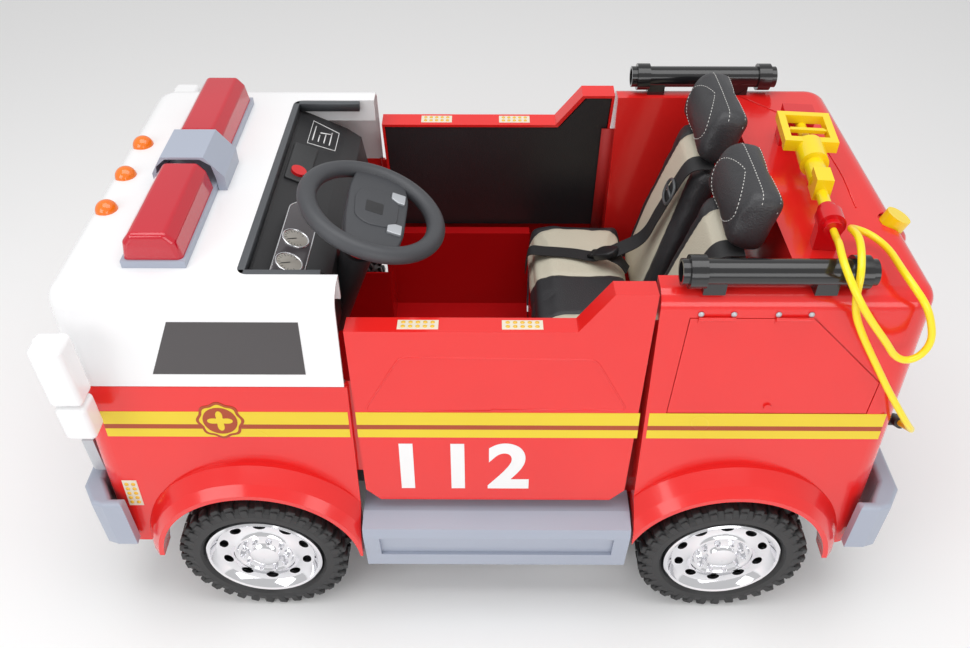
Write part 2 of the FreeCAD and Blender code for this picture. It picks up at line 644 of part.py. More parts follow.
def steering():
    """Steering wheel, its two push buttons, the shaft with its crank and the light stalk."""
    rim = doc.addObject("Part::Torus", "grip")
    bind(rim, "Radius1", s.grip_radius)
    bind(rim, "Radius2", s.grip_thick)
    pad_pts = [(-46, -34), (46, -34), (58, -18), (s.grip_radius - 2, -14), (s.grip_radius - 2, 18), (58, 30),
               (34, 62), (-34, 62), (-58, 30), (-s.grip_radius + 2, 18), (-s.grip_radius + 2, -14), (-58, -18)]
    turned_pts = [(b, a) for a, b in pad_pts]
    centre = place(pad("wheel_centre", "XY_Plane", turned_pts, 20), z=-16)
    boss = cylinder("wheel_boss", 26, 34, 0, 0, -44)
    pockets = [cylinder(f"button_pocket_{i}", 11, 9, 34, y, -4) for i, y in enumerate((-38, 38))]
    bore = cylinder("wheel_bore", 8, 40, 0, 0, -50)
    wheel_all = cut("steering_wheel_flat", fuse("wheel_fused", rim, centre, boss), bore, *pockets)
    keep(tilted("steering_wheel_all", 0, wheel_all), "steering_wheel")
    for name, y in (("horn_button", -38), ("music_button", 38)):
        keep(tilted(name + "_all", 0, cylinder(name + "_cap", 10.6, 6, 34, y, 0.6)), name)
    length = s.column_length
    shaft = cylinder("shaft_bar", 7.9, length - 20, 0, 0, -length)
    crank = box("shaft_crank", 0, 38, -5, 5, -length, -length + 8)
    pin = cylinder("crank_pin", 4, 16, 33, 0, -length - 14)
    keep(tilted("steering_shaft_all", 0, fuse("shaft_fused", shaft, crank, pin)), "steering_shaft")
    stalk = fuse("stalk_fused", cylinder("stalk_bar", 5, 74, -10, 8, -66, X_AXIS, -68),
                 cylinder("stalk_ring", 24, 14, 0, 0, -74))
    ring_bore = cylinder("stalk_bore", 8 + s.run_gap, 30, 0, 0, -80)
    keep(tilted("stalk_all", 0, cut("stalk_cut", stalk, ring_bore)), "light_stalk")


def tilted(name, distance, source):
    """The same solid, moved from a flat frame onto the tilted steering column."""
    obj = doc.addObject("Part::Compound", name)
    obj.Links = [source]
    x, y, z = column_point(distance)
    obj.Placement = FreeCAD.Placement(V(x, y, z), FreeCAD.Rotation(Y_AXIS, float(s.column_tilt)))
    return obj


rear_x = s.front_axle + s.wheel_base
for tag, x, side in (("front_left", s.front_axle, -1), ("front_right", s.front_axle, 1),
                     ("rear_left", rear_x, -1), ("rear_right", rear_x, 1)):
    wheel(tag, x, side)
front_links()
steering()


# ---------------------------------------------------------------- dashboard and cabin
def dashboard():
    """Black dash moulding under the cowl, with an instrument pod and the switch wells."""
    front = -s.well_front + 0.5
    points = [(front, s.roof - 8), (front + 12, s.roof - 20), (front + 88, s.roof - 56), (front + 112, s.roof - 74),
              (front + 120, s.roof - 130), (front + 108, s.roof - 196), (front + 50, s.roof - 196),
              (front, s.roof - 150)]
    body = pad("dash_block", "XZ_Plane", points, s.well_half * 2 - 1, True)
    pod = rod_y("pod", 64, front + 78, s.hub_y - 62, s.hub_y + 62, s.roof - 100)
    pod = common("pod_limit", pod, box("pod_room", front + 2, front + 118, -s.well_half, s.well_half,
                                       s.roof - 190, s.roof - 6))
    tilt = float(s.column_tilt)
    reach = 150
    x, y, z = column_point(80)
    sleeve = cylinder("column_sleeve", 24, reach, 0, 0, -reach)
    sleeve_at = doc.addObject("Part::Compound", "sleeve_placed")
    sleeve_at.Links = [sleeve]
    sleeve_at.Placement = FreeCAD.Placement(V(x, y, z), FreeCAD.Rotation(Y_AXIS, tilt))
    bore = cylinder("column_bore", 8 + s.run_gap, reach + 120, 0, 0, -reach - 60)
    bore_at = doc.addObject("Part::Compound", "bore_placed")
    bore_at.Links = [bore]
    bore_at.Placement = sleeve_at.Placement
    power = slanted_cylinder("power_well", 13, 14, 52, -9, 13)
    sound = slanted_cylinder("sound_well", 7.5, 12, 112, -9, 14)
    solid = fuse("dash_solid", body, pod, sleeve_at)
    keep(cut("dash_cut", solid, bore_at, power, sound, doc.getObject("cab_open")), "dashboard")
    keep(slanted_cylinder("power_cap", 12.6, 16, 52, -7, 13), "power_button")
    keep(slanted_cylinder("sound_cap", 7.1, 10, 112, -7, 14), "sound_button")


def slanted_cylinder(name, radius, height, y, start, back=0):
    """A cylinder square to the sloping face of the dash; back moves it up the slope."""
    slope = math.atan2(36, 76)
    front = -float(s.well_front) + 0.5
    x = front + 44 - back * math.cos(slope)
    z = float(s.roof) - 20 - (x - front - 12) * math.tan(slope)
    obj = cylinder(name, radius, height, 0, 0, 0)
    normal = V(math.sin(slope), 0, math.cos(slope))
    base = V(x, y, z) + normal * start
    obj.Placement = FreeCAD.Placement(base, FreeCAD.Rotation(Y_AXIS, math.degrees(slope)))
    return obj


def pedal():
    """Foot pedal hinged at its heel, with a spring seat below."""
    plate = box("pedal_plate", -70, 0, -26, 26, 4, 11)
    barrel = rod_y("pedal_barrel", 6, 0, -26, 26, 6)
    switch = box("pedal_switch", -40, -28, -8, 8, -9, 4)
    flat = fuse("pedal_flat", plate, barrel, switch)
    placed = doc.addObject("Part::Compound", "pedal_placed")
    placed.Links = [flat]
    placed.Placement = FreeCAD.Placement(V(-222, -40, float(s.floor_top) + 2), FreeCAD.Rotation(Y_AXIS, 26))
    keep(placed, "foot_pedal")


def seats():
    """Bench: a hollow base over the battery, one cushion, two backs and two headrests."""
    front, back = s.seat_front + 10, s.bulkhead - 4
    base = cut("seat_box", box("seat_block", front, back, -s.seat_half - 8, s.seat_half + 8, s.floor_top - 10,
                               s.seat_height - 97),
               box("seat_room", front + 5, back - 5, -s.seat_half - 3, s.seat_half + 3, s.floor_top - 20,
                   s.seat_height - 102),
               box("axle_room", 330, back + 10, -s.seat_half - 20, s.seat_half + 20, s.floor_top - 20, 186))
    keep(base, "seat_base")
    cushion = box("cushion_block", s.seat_front, s.seat_rear - 10, -s.seat_half, s.seat_half,
                  s.seat_height - 95, s.seat_height)
    keep(rounded("cushion_soft", cushion, 14, lambda e: e.CenterOfMass.z > float(s.seat_height) - 1 or e.CenterOfMass.x < 75),
         "seat_cushion")
    backs, heads = [], []
    for i, middle in enumerate((-114, 114)):
        backs.append(box(f"back_{i}", 0, 52, middle - 108, middle + 108, -36, 292))
        head = box(f"head_{i}", -8, 62, middle - 90, middle + 90, 296, 392)
        heads.append(rounded(f"head_soft_{i}", head, 22, lambda e: True))
    for name, parts in (("seat_backs", backs), ("headrests", heads)):
        obj = group(name + "_all", *parts)
        obj.Placement = FreeCAD.Placement(V(float(s.seat_rear), 0, float(s.seat_height) - 44),
                                           FreeCAD.Rotation(Y_AXIS, 13))
        keep(obj, name)
    keep(box("battery", 120, 300, -90, 90, 135, 235))
    keep(box("control_box", 310, 370, -60, 60, 135, 190))
    keep(box("water_tank", s.bulkhead + 20, 570, -110, 60, 330, 560))


def belts():
    """Flat webbing: a shoulder strap, a lap strap over the cushion and their anchors."""
    end = s.seat_rear - 12
    strap = box("lap_strap", 74, end, -62, -32, s.seat_height + 0.5, s.seat_height + 2.5)
    keep(group("belt_pair", strap, box("lap_strap_far", 74, end, 100, 130, s.seat_height + 0.5,
                                       s.seat_height + 2.5)), "belt_webbing")


def gearboxes():
    """One motor with its reduction box on each side of the rear axle."""
    axle_x = s.front_axle + s.wheel_base
    parts = []
    for i, side in enumerate((-1, 1)):
        ends = sorted((190 * side, 262 * side))
        case = box(f"gear_case_{i}", axle_x - 42, axle_x + 42, ends[0], ends[1], 96, 180)
        motor = rod_x(f"motor_{i}", 26, axle_x + 42, axle_x + 110, 214 * side, 140)
        bore = rod_y(f"gear_bore_{i}", s.axle_radius + s.run_gap, axle_x, -300, 300, s.tyre_radius)
        parts.append(cut(f"gearbox_{i}", fuse(f"gear_fused_{i}", case, motor), bore))
    keep(group("gearbox_pair", *parts), "motor_gearboxes")


dashboard()
pedal()
seats()
belts()
gearboxes()


# ---------------------------------------------------------------- lamps, rails and mirrors
def light_bar():
    """Grey base with two clear red domes and a grey centre strap, across the front of the roof."""
    front, rear, half = -s.bar_front, -s.bar_rear, s.bar_half
    keep(box("lightbar_base_block", front, rear, -half, half, s.roof + 0.2, s.roof + 12), "lightbar_base")
    points = [(front + 3, s.roof + 12.2), (rear - 3, s.roof + 12.2), (rear - 8, s.roof + 40), (rear - 20, s.roof + 54),
              (front + 20, s.roof + 54), (front + 8, s.roof + 40)]
    domes = []
    for i, side in enumerate((-1, 1)):
        body = pad(f"dome_{i}", "XZ_Plane", points, half - 48)
        ends = sorted((46 * side, float(half - 3) * side))
        place(body, y=ends[1])
        bind_length(body, half - 49)
        domes.append(rounded(f"dome_soft_{i}", body, 8, lambda e: e.CenterOfMass.z > 655))
    keep(group("dome_pair", *domes), "lightbar_domes")
    strap_pts = [(front - 6, s.roof + 0.2), (front - 6, s.roof + 30), (front + 12, s.roof + 58), (rear - 12, s.roof + 58),
                 (rear + 14, s.roof + 24), (rear + 14, s.roof + 0.2), (rear + 1, s.roof + 0.2), (rear + 1, s.roof + 20),
                 (rear - 3, s.roof + 44), (rear - 18, s.roof + 54.4), (front + 18, s.roof + 54.4),
                 (front + 3, s.roof + 42), (front - 1, s.roof + 20), (front - 1, s.roof + 0.2)]
    strap = pad("strap_block", "XZ_Plane", strap_pts, 84, True)
    keep(strap, "lightbar_strap")
    lamps = []
    for i, y in enumerate((-94, 0, 94)):
        ball = doc.addObject("Part::Sphere", f"beacon_ball_{i}")
        bind(ball, "Radius", 17)
        place(ball, -578, y, 634)
        foot = cylinder(f"beacon_foot_{i}", 15, 22, -582, y, 610, Y_AXIS, -35)
        lamps.append(fuse(f"beacon_{i}", ball, foot))
    solid = cut("beacon_trim", fuse("beacon_all", *lamps), doc.getObject("cab_soft"),
                box("beacon_under", -700, -500, -200, 200, 500, 624))
    keep(solid, "beacons")


def bind_length(body, size):
    pads = [f for f in body.Group if f.TypeId == "PartDesign::Pad"]
    bind(pads[0], "Length", size)


def headlamps():
    """Headlamp housings standing out of the lower front corners."""
    parts = []
    for i, side in enumerate((-1, 1)):
        ends = sorted((222 * side, 304 * side))
        block = box(f"lamp_{i}", -s.nose - 22, -s.nose - 0.2, ends[0], ends[1], 282, 352)
        parts.append(rounded(f"lamp_soft_{i}", block, 9, lambda e: e.CenterOfMass.x < -625))
    keep(group("lamp_pair", *parts), "headlamps")


def rails():
    """Two roof-rail tubes with end collars, each on two saddles."""
    parts = []
    for side in (-1, 1):
        y = s.rail_half * side
        tube = rod_x("rail_tube", s.rail_radius, s.rail_front, s.rail_rear, y, s.rail_height)
        ends = [rod_x("rail_collar", s.rail_radius + 5, x, x + 22, y, s.rail_height)
                for x in (s.rail_front + 10, s.rail_rear - 32)]
        feet = [box("rail_foot", x, x + 30, y - 16, y + 16, s.deck + 0.3, s.rail_height - 8)
                for x in (s.rail_front + 30, s.rail_rear - 78)]
        tips = [rod_x("rail_hollow", s.rail_radius - 4, x, x + 8, y, s.rail_height)
                for x in (s.rail_front, s.rail_rear - 8)]
        parts.append(cut("rail", fuse("rail_fused", tube, *ends, *feet), *tips))
    keep(group("rail_pair", *parts), "rail_tubes")


def mirrors():
    """Truck mirrors: a two-pane head on an arm that turns on a pin in the front corner."""
    pivot = MIRROR_PIVOT
    arm = rod_y("mirror_arm", 6, pivot[0], pivot[1] - 34, pivot[1], pivot[2])
    barrel = cylinder("mirror_barrel", 8, 16, pivot[0], pivot[1], pivot[2] - 8)
    bore = cylinder("mirror_bore", 3 + s.run_gap, 30, pivot[0], pivot[1], pivot[2] - 15)
    post = cylinder("mirror_post", 5, 176, pivot[0], pivot[1] - 30, 430)
    head = box("mirror_head", pivot[0] - 8, pivot[0] + 38, pivot[1] - 54, pivot[1] - 12, 500, 606)
    small = box("mirror_small", pivot[0] - 8, pivot[0] + 36, pivot[1] - 52, pivot[1] - 14, 430, 494)
    head = rounded("mirror_soft", head, 8, lambda e: True)
    small = rounded("mirror_small_soft", small, 8, lambda e: True)
    left = cut("mirror_left_all", fuse("mirror_joined", arm, barrel, post, head, small), bore)
    keep(left, "mirror_left")
    keep(mirror("mirror_right_all", left), "mirror_right")


light_bar()
headlamps()
rails()
mirrors()


# ---------------------------------------------------------------- water gun, filler and hose
GUN_END = V(466, -208, 683)
GUN_TURN = FreeCAD.Rotation(Z_AXIS, -5.7)


def on_gun(name, source):
    """The same solid, moved onto the gun's axis; the flat frame's +Y runs from coupling to handle."""
    obj = doc.addObject("Part::Compound", name)
    obj.Links = [source]
    obj.Placement = FreeCAD.Placement(GUN_END, GUN_TURN)
    return obj


def water_gun():
    """Toy hose nozzle lying across the deck: coupling, body with a looped guard, trigger and clip."""
    coupling = fuse("coupling_fused", rod_y("coupling_core", 13, 0, 0, 52, 0), rod_y("coupling_ring", 19, 0, 10, 36, 0))
    foot = box("coupling_foot", -16, 16, 12, 34, s.deck - 682.7, -8)
    keep(on_gun("coupling_all", fuse("coupling_footed", coupling, foot)), "hose_coupling")
    pipe = rod_y("gun_pipe", 9, 0, 52.3, 100, 0)
    block = box("gun_block", -12, 12, 88, 124, -10, 24)
    barrel = rod_y("gun_barrel", 15, 0, 116, 168, 4)
    chest = rod_y("gun_chest", 21, 0, 160, 212, 6)
    bars = [box("guard_left", -40, -29, 206, 284, 8, 22), box("guard_right", 29, 40, 206, 284, 8, 22),
            box("guard_top", -40, 40, 280, 292, 8, 22), box("guard_foot", -40, 40, 200, 214, 4, 22)]
    nozzle = rod_y("gun_nozzle", 8, 0, 200, 316, 2)
    keep(on_gun("gun_all", fuse("gun_fused", pipe, block, barrel, chest, nozzle, *bars)), "water_gun")
    lever = fuse("trigger_fused", box("trigger_blade", -26, 26, 238, 246, 14, 20),
                 rod_x("trigger_pin", 3, -28.7, 28.7, 242, 17))
    keep(on_gun("trigger_all", lever), "gun_trigger")
    holder = box("clip_block", -24, 24, 296, 334, s.deck - 682.7, 14)
    seat = rod_y("clip_seat", 8.3, 0, 280, 317, 2)
    keep(on_gun("clip_all", cut("clip_cut", holder, seat)), "gun_clip")


def filler_cap():
    """Knurled cap that lifts off the filler neck; its spigot runs in the neck's bore."""
    cap = fuse("cap_fused", cylinder("cap_top", s.cap_radius, 19, 0, 0, 60.4),
               cylinder("cap_spigot", s.cap_radius - 6 - s.run_gap, 14, 0, 0, 47))
    keep(on_filler("cap_placed", cap), "filler_cap")


HOSE_ROUTE = [
    (466, -208, 683), (462, -232, 687), (453, -262, 702), (446, -298, 704), (450, -330, 693), (466, -344, 667),
    (486, -345, 640), (506, -343, 615), (524, -340, 592), (539, -338, 571), (558, -337, 560), (577, -335, 568),
    (585, -332, 592), (577, -327, 620), (564, -321, 646), (549, -300, 662), (544, -274, 665), (545, -248, 662),
    (546, -223, 659), (541, -200, 658), (527, -183, 661), (507, -182, 668), (492, -198, 680), (484, -226, 696),
    (479, -258, 708), (472, -292, 707), (467, -318, 692), (467, -324, 662), (474, -328, 632), (490, -332, 602),
    (508, -335, 573), (527, -338, 543), (546, -342, 513), (566, -345, 484), (586, -345, 455), (605, -338, 428),
    (622, -322, 404), (631, -300, 384), (632, -276, 368),
]


def hose():
    """Limp water hose: straight runs joined by tangent arcs, with a round section."""
    points = [V(*p) for p in HOSE_ROUTE]
    edges, start, radii = [], points[0], []
    for before, corner, after in zip(points, points[1:], points[2:]):
        into, out = (before - corner), (after - corner)
        reach = 0.45 * min(into.Length, out.Length)
        half_turn = (math.pi - into.getAngle(out)) / 2
        radii.append(reach / math.tan(half_turn))
        into.normalize()
        out.normalize()
        first, last = corner + into * reach, corner + out * reach
        middle = (into + out).normalize()
        bulge = corner + middle * (radii[-1] / math.cos(half_turn) - radii[-1])
        edges.append(Part.LineSegment(start, first).toShape())
        edges.append(Part.Arc(first, bulge, last).toShape())
        start = last
    edges.append(Part.LineSegment(start, points[-1]).toShape())
    path = Part.Wire(edges)
    circle = Part.Circle(points[0], points[1] - points[0], float(s.hose_radius))
    tube = path.makePipeShell([Part.Wire([circle.toShape()])], True, False)
    print("hose length", round(path.Length), "smallest radius", round(min(radii), 1), "volume against section",
          round(tube.Volume / (math.pi * float(s.hose_radius) ** 2 * path.Length), 4))
    obj = doc.addObject("Part::Feature", "water_hose")
    obj.Shape = tube
    keep(obj)
    last, way = points[-1], (points[-1] - points[-2]).normalize()
    sleeve = doc.addObject("Part::Cylinder", "gland_sleeve")
    bind(sleeve, "Radius", s.hose_radius + 4)
    sleeve.Height = 28
    sleeve.Placement = FreeCAD.Placement(last, FreeCAD.Rotation(Z_AXIS, way))
    elbow = last + way * 22
    stem = rod_x("gland_stem", s.hose_radius + 4, s.tail + 0.2, elbow.x + 4, elbow.y, elbow.z)
    keep(fuse("gland_fused", sleeve, stem), "hose_gland")


water_gun()
filler_cap()
hose()


# ---------------------------------------------------------------- run, check and export
def check():
    """Stops before anything is written if an object failed or a piece has no sound solid."""
    doc.recompute()
    for obj in doc.Objects:
        if "Invalid" in obj.State or "Error" in obj.State:
            raise RuntimeError(f"{obj.Label} failed: {obj.getStatusString()}")
    for obj in OUT:
        if obj.Shape.isNull() or not obj.Shape.isValid() or not obj.Shape.Solids:
            raise RuntimeError(f"{obj.Label} has no sound solid")


def export():
    os.makedirs("parts", exist_ok=True)
    for obj in OUT:
        obj.Shape.exportStep(os.path.join("parts", obj.Label + ".step"))


check()
export()
print(len(OUT), "nodes written")
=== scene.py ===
import math
import bmesh
import bpy
from mathutils import Matrix, Vector


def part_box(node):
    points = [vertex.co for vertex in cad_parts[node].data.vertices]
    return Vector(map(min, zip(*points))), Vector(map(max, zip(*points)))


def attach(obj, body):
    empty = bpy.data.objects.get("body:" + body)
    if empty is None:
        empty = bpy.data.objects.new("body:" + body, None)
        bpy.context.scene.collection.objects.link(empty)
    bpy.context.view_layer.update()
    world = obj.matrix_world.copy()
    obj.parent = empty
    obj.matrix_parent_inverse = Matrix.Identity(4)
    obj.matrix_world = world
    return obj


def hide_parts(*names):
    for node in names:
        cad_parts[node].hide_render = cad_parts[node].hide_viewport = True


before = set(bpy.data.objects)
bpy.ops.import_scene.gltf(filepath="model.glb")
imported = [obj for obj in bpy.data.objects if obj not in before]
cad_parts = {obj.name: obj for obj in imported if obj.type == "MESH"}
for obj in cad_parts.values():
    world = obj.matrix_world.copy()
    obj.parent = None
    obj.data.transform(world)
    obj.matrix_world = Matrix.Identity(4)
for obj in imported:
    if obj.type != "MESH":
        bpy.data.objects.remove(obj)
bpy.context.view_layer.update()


# ---------------------------------------------------------------- Studio
# A pale seamless floor under soft overhead panels, and a camera standing at the driver's side,
# a little above head height, looking down into the open cabin.
def look(location, pitch, yaw, lens):
    data = bpy.data.cameras.new("camera")
    data.lens, data.sensor_width, data.clip_end = lens, 36.0, 30.0
    camera = bpy.data.objects.new("camera", data)
    camera.location = location
    camera.rotation_euler = (math.radians(90.0 - pitch), 0.0, math.radians(yaw))
    bpy.context.collection.objects.link(camera)
    bpy.context.scene.camera = camera


def panel_light(name, place, aim, size, power):
    data = bpy.data.lights.new(name, "AREA")
    data.shape, data.size, data.size_y, data.energy = "RECTANGLE", size[0], size[1], power
    lamp = bpy.data.objects.new(name, data)
    lamp.location = place
    lamp.rotation_euler = (Vector(aim) - Vector(place)).to_track_quat("-Z", "Y").to_euler()
    bpy.context.collection.objects.link(lamp)


look((-0.0048, -1.1969, 1.3946), 41.83, 0.28, 32.89)
panel_light("top_panel", (0.0, -0.2, 2.6), (0, 0, 0), (2.6, 1.6), 30)
panel_light("front_panel", (-1.9, -1.9, 1.6), (-0.2, 0, 0.35), (1.4, 1.4), 16)
panel_light("near_panel", (0.9, -2.4, 1.1), (0.1, 0, 0.3), (2.2, 1.0), 15)
world = bpy.data.worlds.new("studio")
world.use_nodes = True
world.node_tree.nodes["Background"].inputs["Color"].default_value = (1.0, 1.0, 1.0, 1.0)
world.node_tree.nodes["Background"].inputs["Strength"].default_value = 0.62
bpy.context.scene.world = world
bpy.context.scene.view_settings.view_transform = "Standard"


def finish_mesh(name, bm, material, body="root", smooth=True):
    """Turns a bmesh into a piece at the origin, on its body."""
    bmesh.ops.remove_doubles(bm, verts=bm.verts, dist=1e-6)
    bmesh.ops.recalc_face_normals(bm, faces=bm.faces)
    mesh = bpy.data.meshes.new(name)
    bm.to_mesh(mesh)
    bm.free()
    for face in mesh.polygons:
        face.use_smooth = smooth
    piece = bpy.data.objects.new(name, mesh)
    piece.data.materials.append(material)
    bpy.context.collection.objects.link(piece)
    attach(piece, body)
    return piece


def principled(name, colour, roughness, metallic=0.0, coat=0.0, coat_rough=0.05, ior=1.5):
    """A material with its Principled BSDF ready, and the node tree returned for detail."""
    material = bpy.data.materials.new(name)
    material.use_nodes = True
    shader = material.node_tree.nodes["Principled BSDF"]
    shader.inputs["Base Color"].default_value = (*colour, 1.0)
    shader.inputs["Roughness"].default_value = roughness
    shader.inputs["Metallic"].default_value = metallic
    shader.inputs["Coat Weight"].default_value = coat
    shader.inputs["Coat Roughness"].default_value = coat_rough
    shader.inputs["IOR"].default_value = ior
    return material, material.node_tree, shader


floor_mesh = bpy.data.meshes.new("studio_floor")
reach = 9.0
floor_mesh.from_pydata([(-reach, -reach, 0), (reach, -reach, 0), (reach, reach, 0), (-reach, reach, 0)],
                       [], [(0, 1, 2, 3)])
floor = bpy.data.objects.new("studio_floor", floor_mesh)
floor_paint, _, _ = principled("studio_white", (0.93, 0.93, 0.93), 0.6)
floor.data.materials.append(floor_paint)
bpy.context.collection.objects.link(floor)


# ---------------------------------------------------------------- Water hose
# Limp yellow vinyl hose, 10 mm across. It leaves the coupling, crosses the roof rail, hangs in one
# loop down the rear corner and goes into an elbow gland in the tail.
HOSE_ROUTE = [
    (466, -208, 683), (462, -232, 687), (453, -262, 702), (446, -298, 704), (450, -330, 693), (466, -344, 667),
    (486, -345, 640), (506, -343, 615), (524, -340, 592), (539, -338, 571), (558, -337, 560), (577, -335, 568),
    (585, -332, 592), (577, -327, 620), (564, -321, 646), (549, -300, 662), (544, -274, 665), (545, -248, 662),
    (546, -223, 659), (541, -200, 658), (527, -183, 661), (507, -182, 668), (492, -198, 680), (484, -226, 696),
    (479, -258, 708), (472, -292, 707), (467, -318, 692), (467, -324, 662), (474, -328, 632), (490, -332, 602),
    (508, -335, 573), (527, -338, 543), (546, -342, 513), (566, -345, 484), (586, -345, 455), (605, -338, 428),
    (622, -322, 404), (631, -300, 384), (632, -276, 368),
]
curve = bpy.data.curves.new("hose", "CURVE")
curve.dimensions = "3D"
curve.bevel_depth = 0.005
curve.bevel_resolution = 5
curve.resolution_u = 8
spline = curve.splines.new("NURBS")
spline.points.add(len(HOSE_ROUTE) - 1)
for point, place in zip(spline.points, HOSE_ROUTE):
    point.co = (*(v / 1000 for v in place), 1.0)
spline.order_u = 3
spline.use_endpoint_u = True
curve.use_fill_caps = True
hose = bpy.data.objects.new("hose", curve)
bpy.context.collection.objects.link(hose)


def vinyl(name, colour):
    """Soft glossy vinyl with slow waves in the gloss."""
    material, tree, shader = principled(name, colour, 0.3, coat=0.25, coat_rough=0.15)
    where = tree.nodes.new("ShaderNodeTexCoord")
    noise = tree.nodes.new("ShaderNodeTexNoise")
    noise.inputs["Scale"].default_value = 60.0
    ramp = tree.nodes.new("ShaderNodeMapRange")
    ramp.inputs["To Min"].default_value = 0.24
    ramp.inputs["To Max"].default_value = 0.4
    bump = tree.nodes.new("ShaderNodeBump")
    bump.inputs["Strength"].default_value = 0.12
    bump.inputs["Distance"].default_value = 0.0006
    tree.links.new(where.outputs["Object"], noise.inputs["Vector"])
    tree.links.new(noise.outputs["Fac"], ramp.inputs["Value"])
    tree.links.new(ramp.outputs["Result"], shader.inputs["Roughness"])
    tree.links.new(noise.outputs["Fac"], bump.inputs["Height"])
    tree.links.new(bump.outputs["Normal"], shader.inputs["Normal"])
    return material


hose_vinyl = vinyl("yellow_vinyl", (0.95, 0.74, 0.01))
hose.data.materials.append(hose_vinyl)
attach(hose, "root")
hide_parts("water_hose")


# ---------------------------------------------------------------- Red and white blown shells
# Front shell, rear body, doors and hatches are blow-moulded polyethylene, coloured right through and
# glossy, with the slow waviness that such walls have. The cab over them is the same stuff in white.
def surface_group():
    """Slow waves, a fine grain and a little colour drift, as one group for all moulded pieces."""
    group = bpy.data.node_groups.new("moulded_surface", "ShaderNodeTree")
    face = group.interface
    for name, kind, default in (("Colour", "NodeSocketColor", (0.5, 0.5, 0.5, 1)),
                                ("Shade", "NodeSocketColor", (0.4, 0.4, 0.4, 1)),
                                ("Wave Scale", "NodeSocketFloat", 9.0),
                                ("Grain Scale", "NodeSocketFloat", 900.0),
                                ("Grain", "NodeSocketFloat", 0.1), ("Smooth", "NodeSocketFloat", 0.15),
                                ("Rough", "NodeSocketFloat", 0.3)):
        socket = face.new_socket(name, in_out="INPUT", socket_type=kind)
        socket.default_value = default
    for name, kind in (("Colour", "NodeSocketColor"), ("Roughness", "NodeSocketFloat"),
                       ("Height", "NodeSocketFloat")):
        face.new_socket(name, in_out="OUTPUT", socket_type=kind)
    new, link = group.nodes.new, group.links.new
    start, end = new("NodeGroupInput"), new("NodeGroupOutput")
    where = new("ShaderNodeTexCoord")
    waves, grain, patches = (new("ShaderNodeTexNoise") for _ in range(3))
    link(where.outputs["Object"], waves.inputs["Vector"])
    link(where.outputs["Object"], grain.inputs["Vector"])
    link(where.outputs["Object"], patches.inputs["Vector"])
    link(start.outputs["Wave Scale"], waves.inputs["Scale"])
    link(start.outputs["Grain Scale"], grain.inputs["Scale"])
    waves.inputs["Detail"].default_value = 1.0
    patches.inputs["Scale"].default_value = 5.0
    mix = new("ShaderNodeMix")
    mix.data_type = "RGBA"
    link(patches.outputs["Fac"], mix.inputs["Factor"])
    link(start.outputs["Colour"], mix.inputs["A"])
    link(start.outputs["Shade"], mix.inputs["B"])
    link(mix.outputs["Result"], end.inputs["Colour"])
    spread = new("ShaderNodeMapRange")
    link(patches.outputs["Fac"], spread.inputs["Value"])
    link(start.outputs["Smooth"], spread.inputs["To Min"])
    link(start.outputs["Rough"], spread.inputs["To Max"])
    link(spread.outputs["Result"], end.inputs["Roughness"])
    fine = new("ShaderNodeMath")
    fine.operation = "MULTIPLY"
    link(grain.outputs["Fac"], fine.inputs[0])
    link(start.outputs["Grain"], fine.inputs[1])
    total = new("ShaderNodeMath")
    link(fine.outputs["Value"], total.inputs[0])
    link(waves.outputs["Fac"], total.inputs[1])
    link(total.outputs["Value"], end.inputs["Height"])
    return group


SURFACE = surface_group()


def moulded(name, colour, shade, smooth, rough, wave=0.0015, grain=0.1, grain_scale=900.0, wave_scale=9.0,
            coat=0.0, metallic=0.0):
    """A plastic made by the shared surface group, with its own colours, gloss and depth of waves."""
    material, tree, shader = principled(name, colour, rough, metallic=metallic, coat=coat)
    node = tree.nodes.new("ShaderNodeGroup")
    node.node_tree = SURFACE
    node.inputs["Colour"].default_value = (*colour, 1.0)
    node.inputs["Shade"].default_value = (*shade, 1.0)
    node.inputs["Smooth"].default_value = smooth
    node.inputs["Rough"].default_value = rough
    node.inputs["Grain"].default_value = grain
    node.inputs["Grain Scale"].default_value = grain_scale
    node.inputs["Wave Scale"].default_value = wave_scale
    bump = tree.nodes.new("ShaderNodeBump")
    bump.inputs["Strength"].default_value = 0.5
    bump.inputs["Distance"].default_value = wave
    tree.links.new(node.outputs["Colour"], shader.inputs["Base Color"])
    tree.links.new(node.outputs["Roughness"], shader.inputs["Roughness"])
    tree.links.new(node.outputs["Height"], bump.inputs["Height"])
    tree.links.new(bump.outputs["Normal"], shader.inputs["Normal"])
    return material


def dress(material, *names):
    """Gives carried-over CAD nodes their finish."""
    for name in names:
        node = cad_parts[name]
        for index in range(max(1, len(node.data.materials))):
            if index < len(node.data.materials):
                node.data.materials[index] = material
            else:
                node.data.materials.append(material)


red = moulded("red_polyethylene", (0.84, 0.022, 0.018), (0.74, 0.014, 0.014), 0.13, 0.22, wave=0.002,
              grain=0.03, wave_scale=7.0, coat=0.35)
white = moulded("white_polyethylene", (0.90, 0.90, 0.905), (0.84, 0.84, 0.85), 0.2, 0.3, wave=0.0015,
                grain=0.03, wave_scale=7.0, coat=0.25)
deep_red = moulded("tub_red", (0.62, 0.008, 0.010), (0.5, 0.004, 0.006), 0.18, 0.3, wave=0.002, grain=0.08)
dress(red, "front_shell", "rear_shell", "door_left", "door_right", "hatch_left", "hatch_right")
dress(white, "cab_shell")
dress(deep_red, "floor_tub", "seat_base")


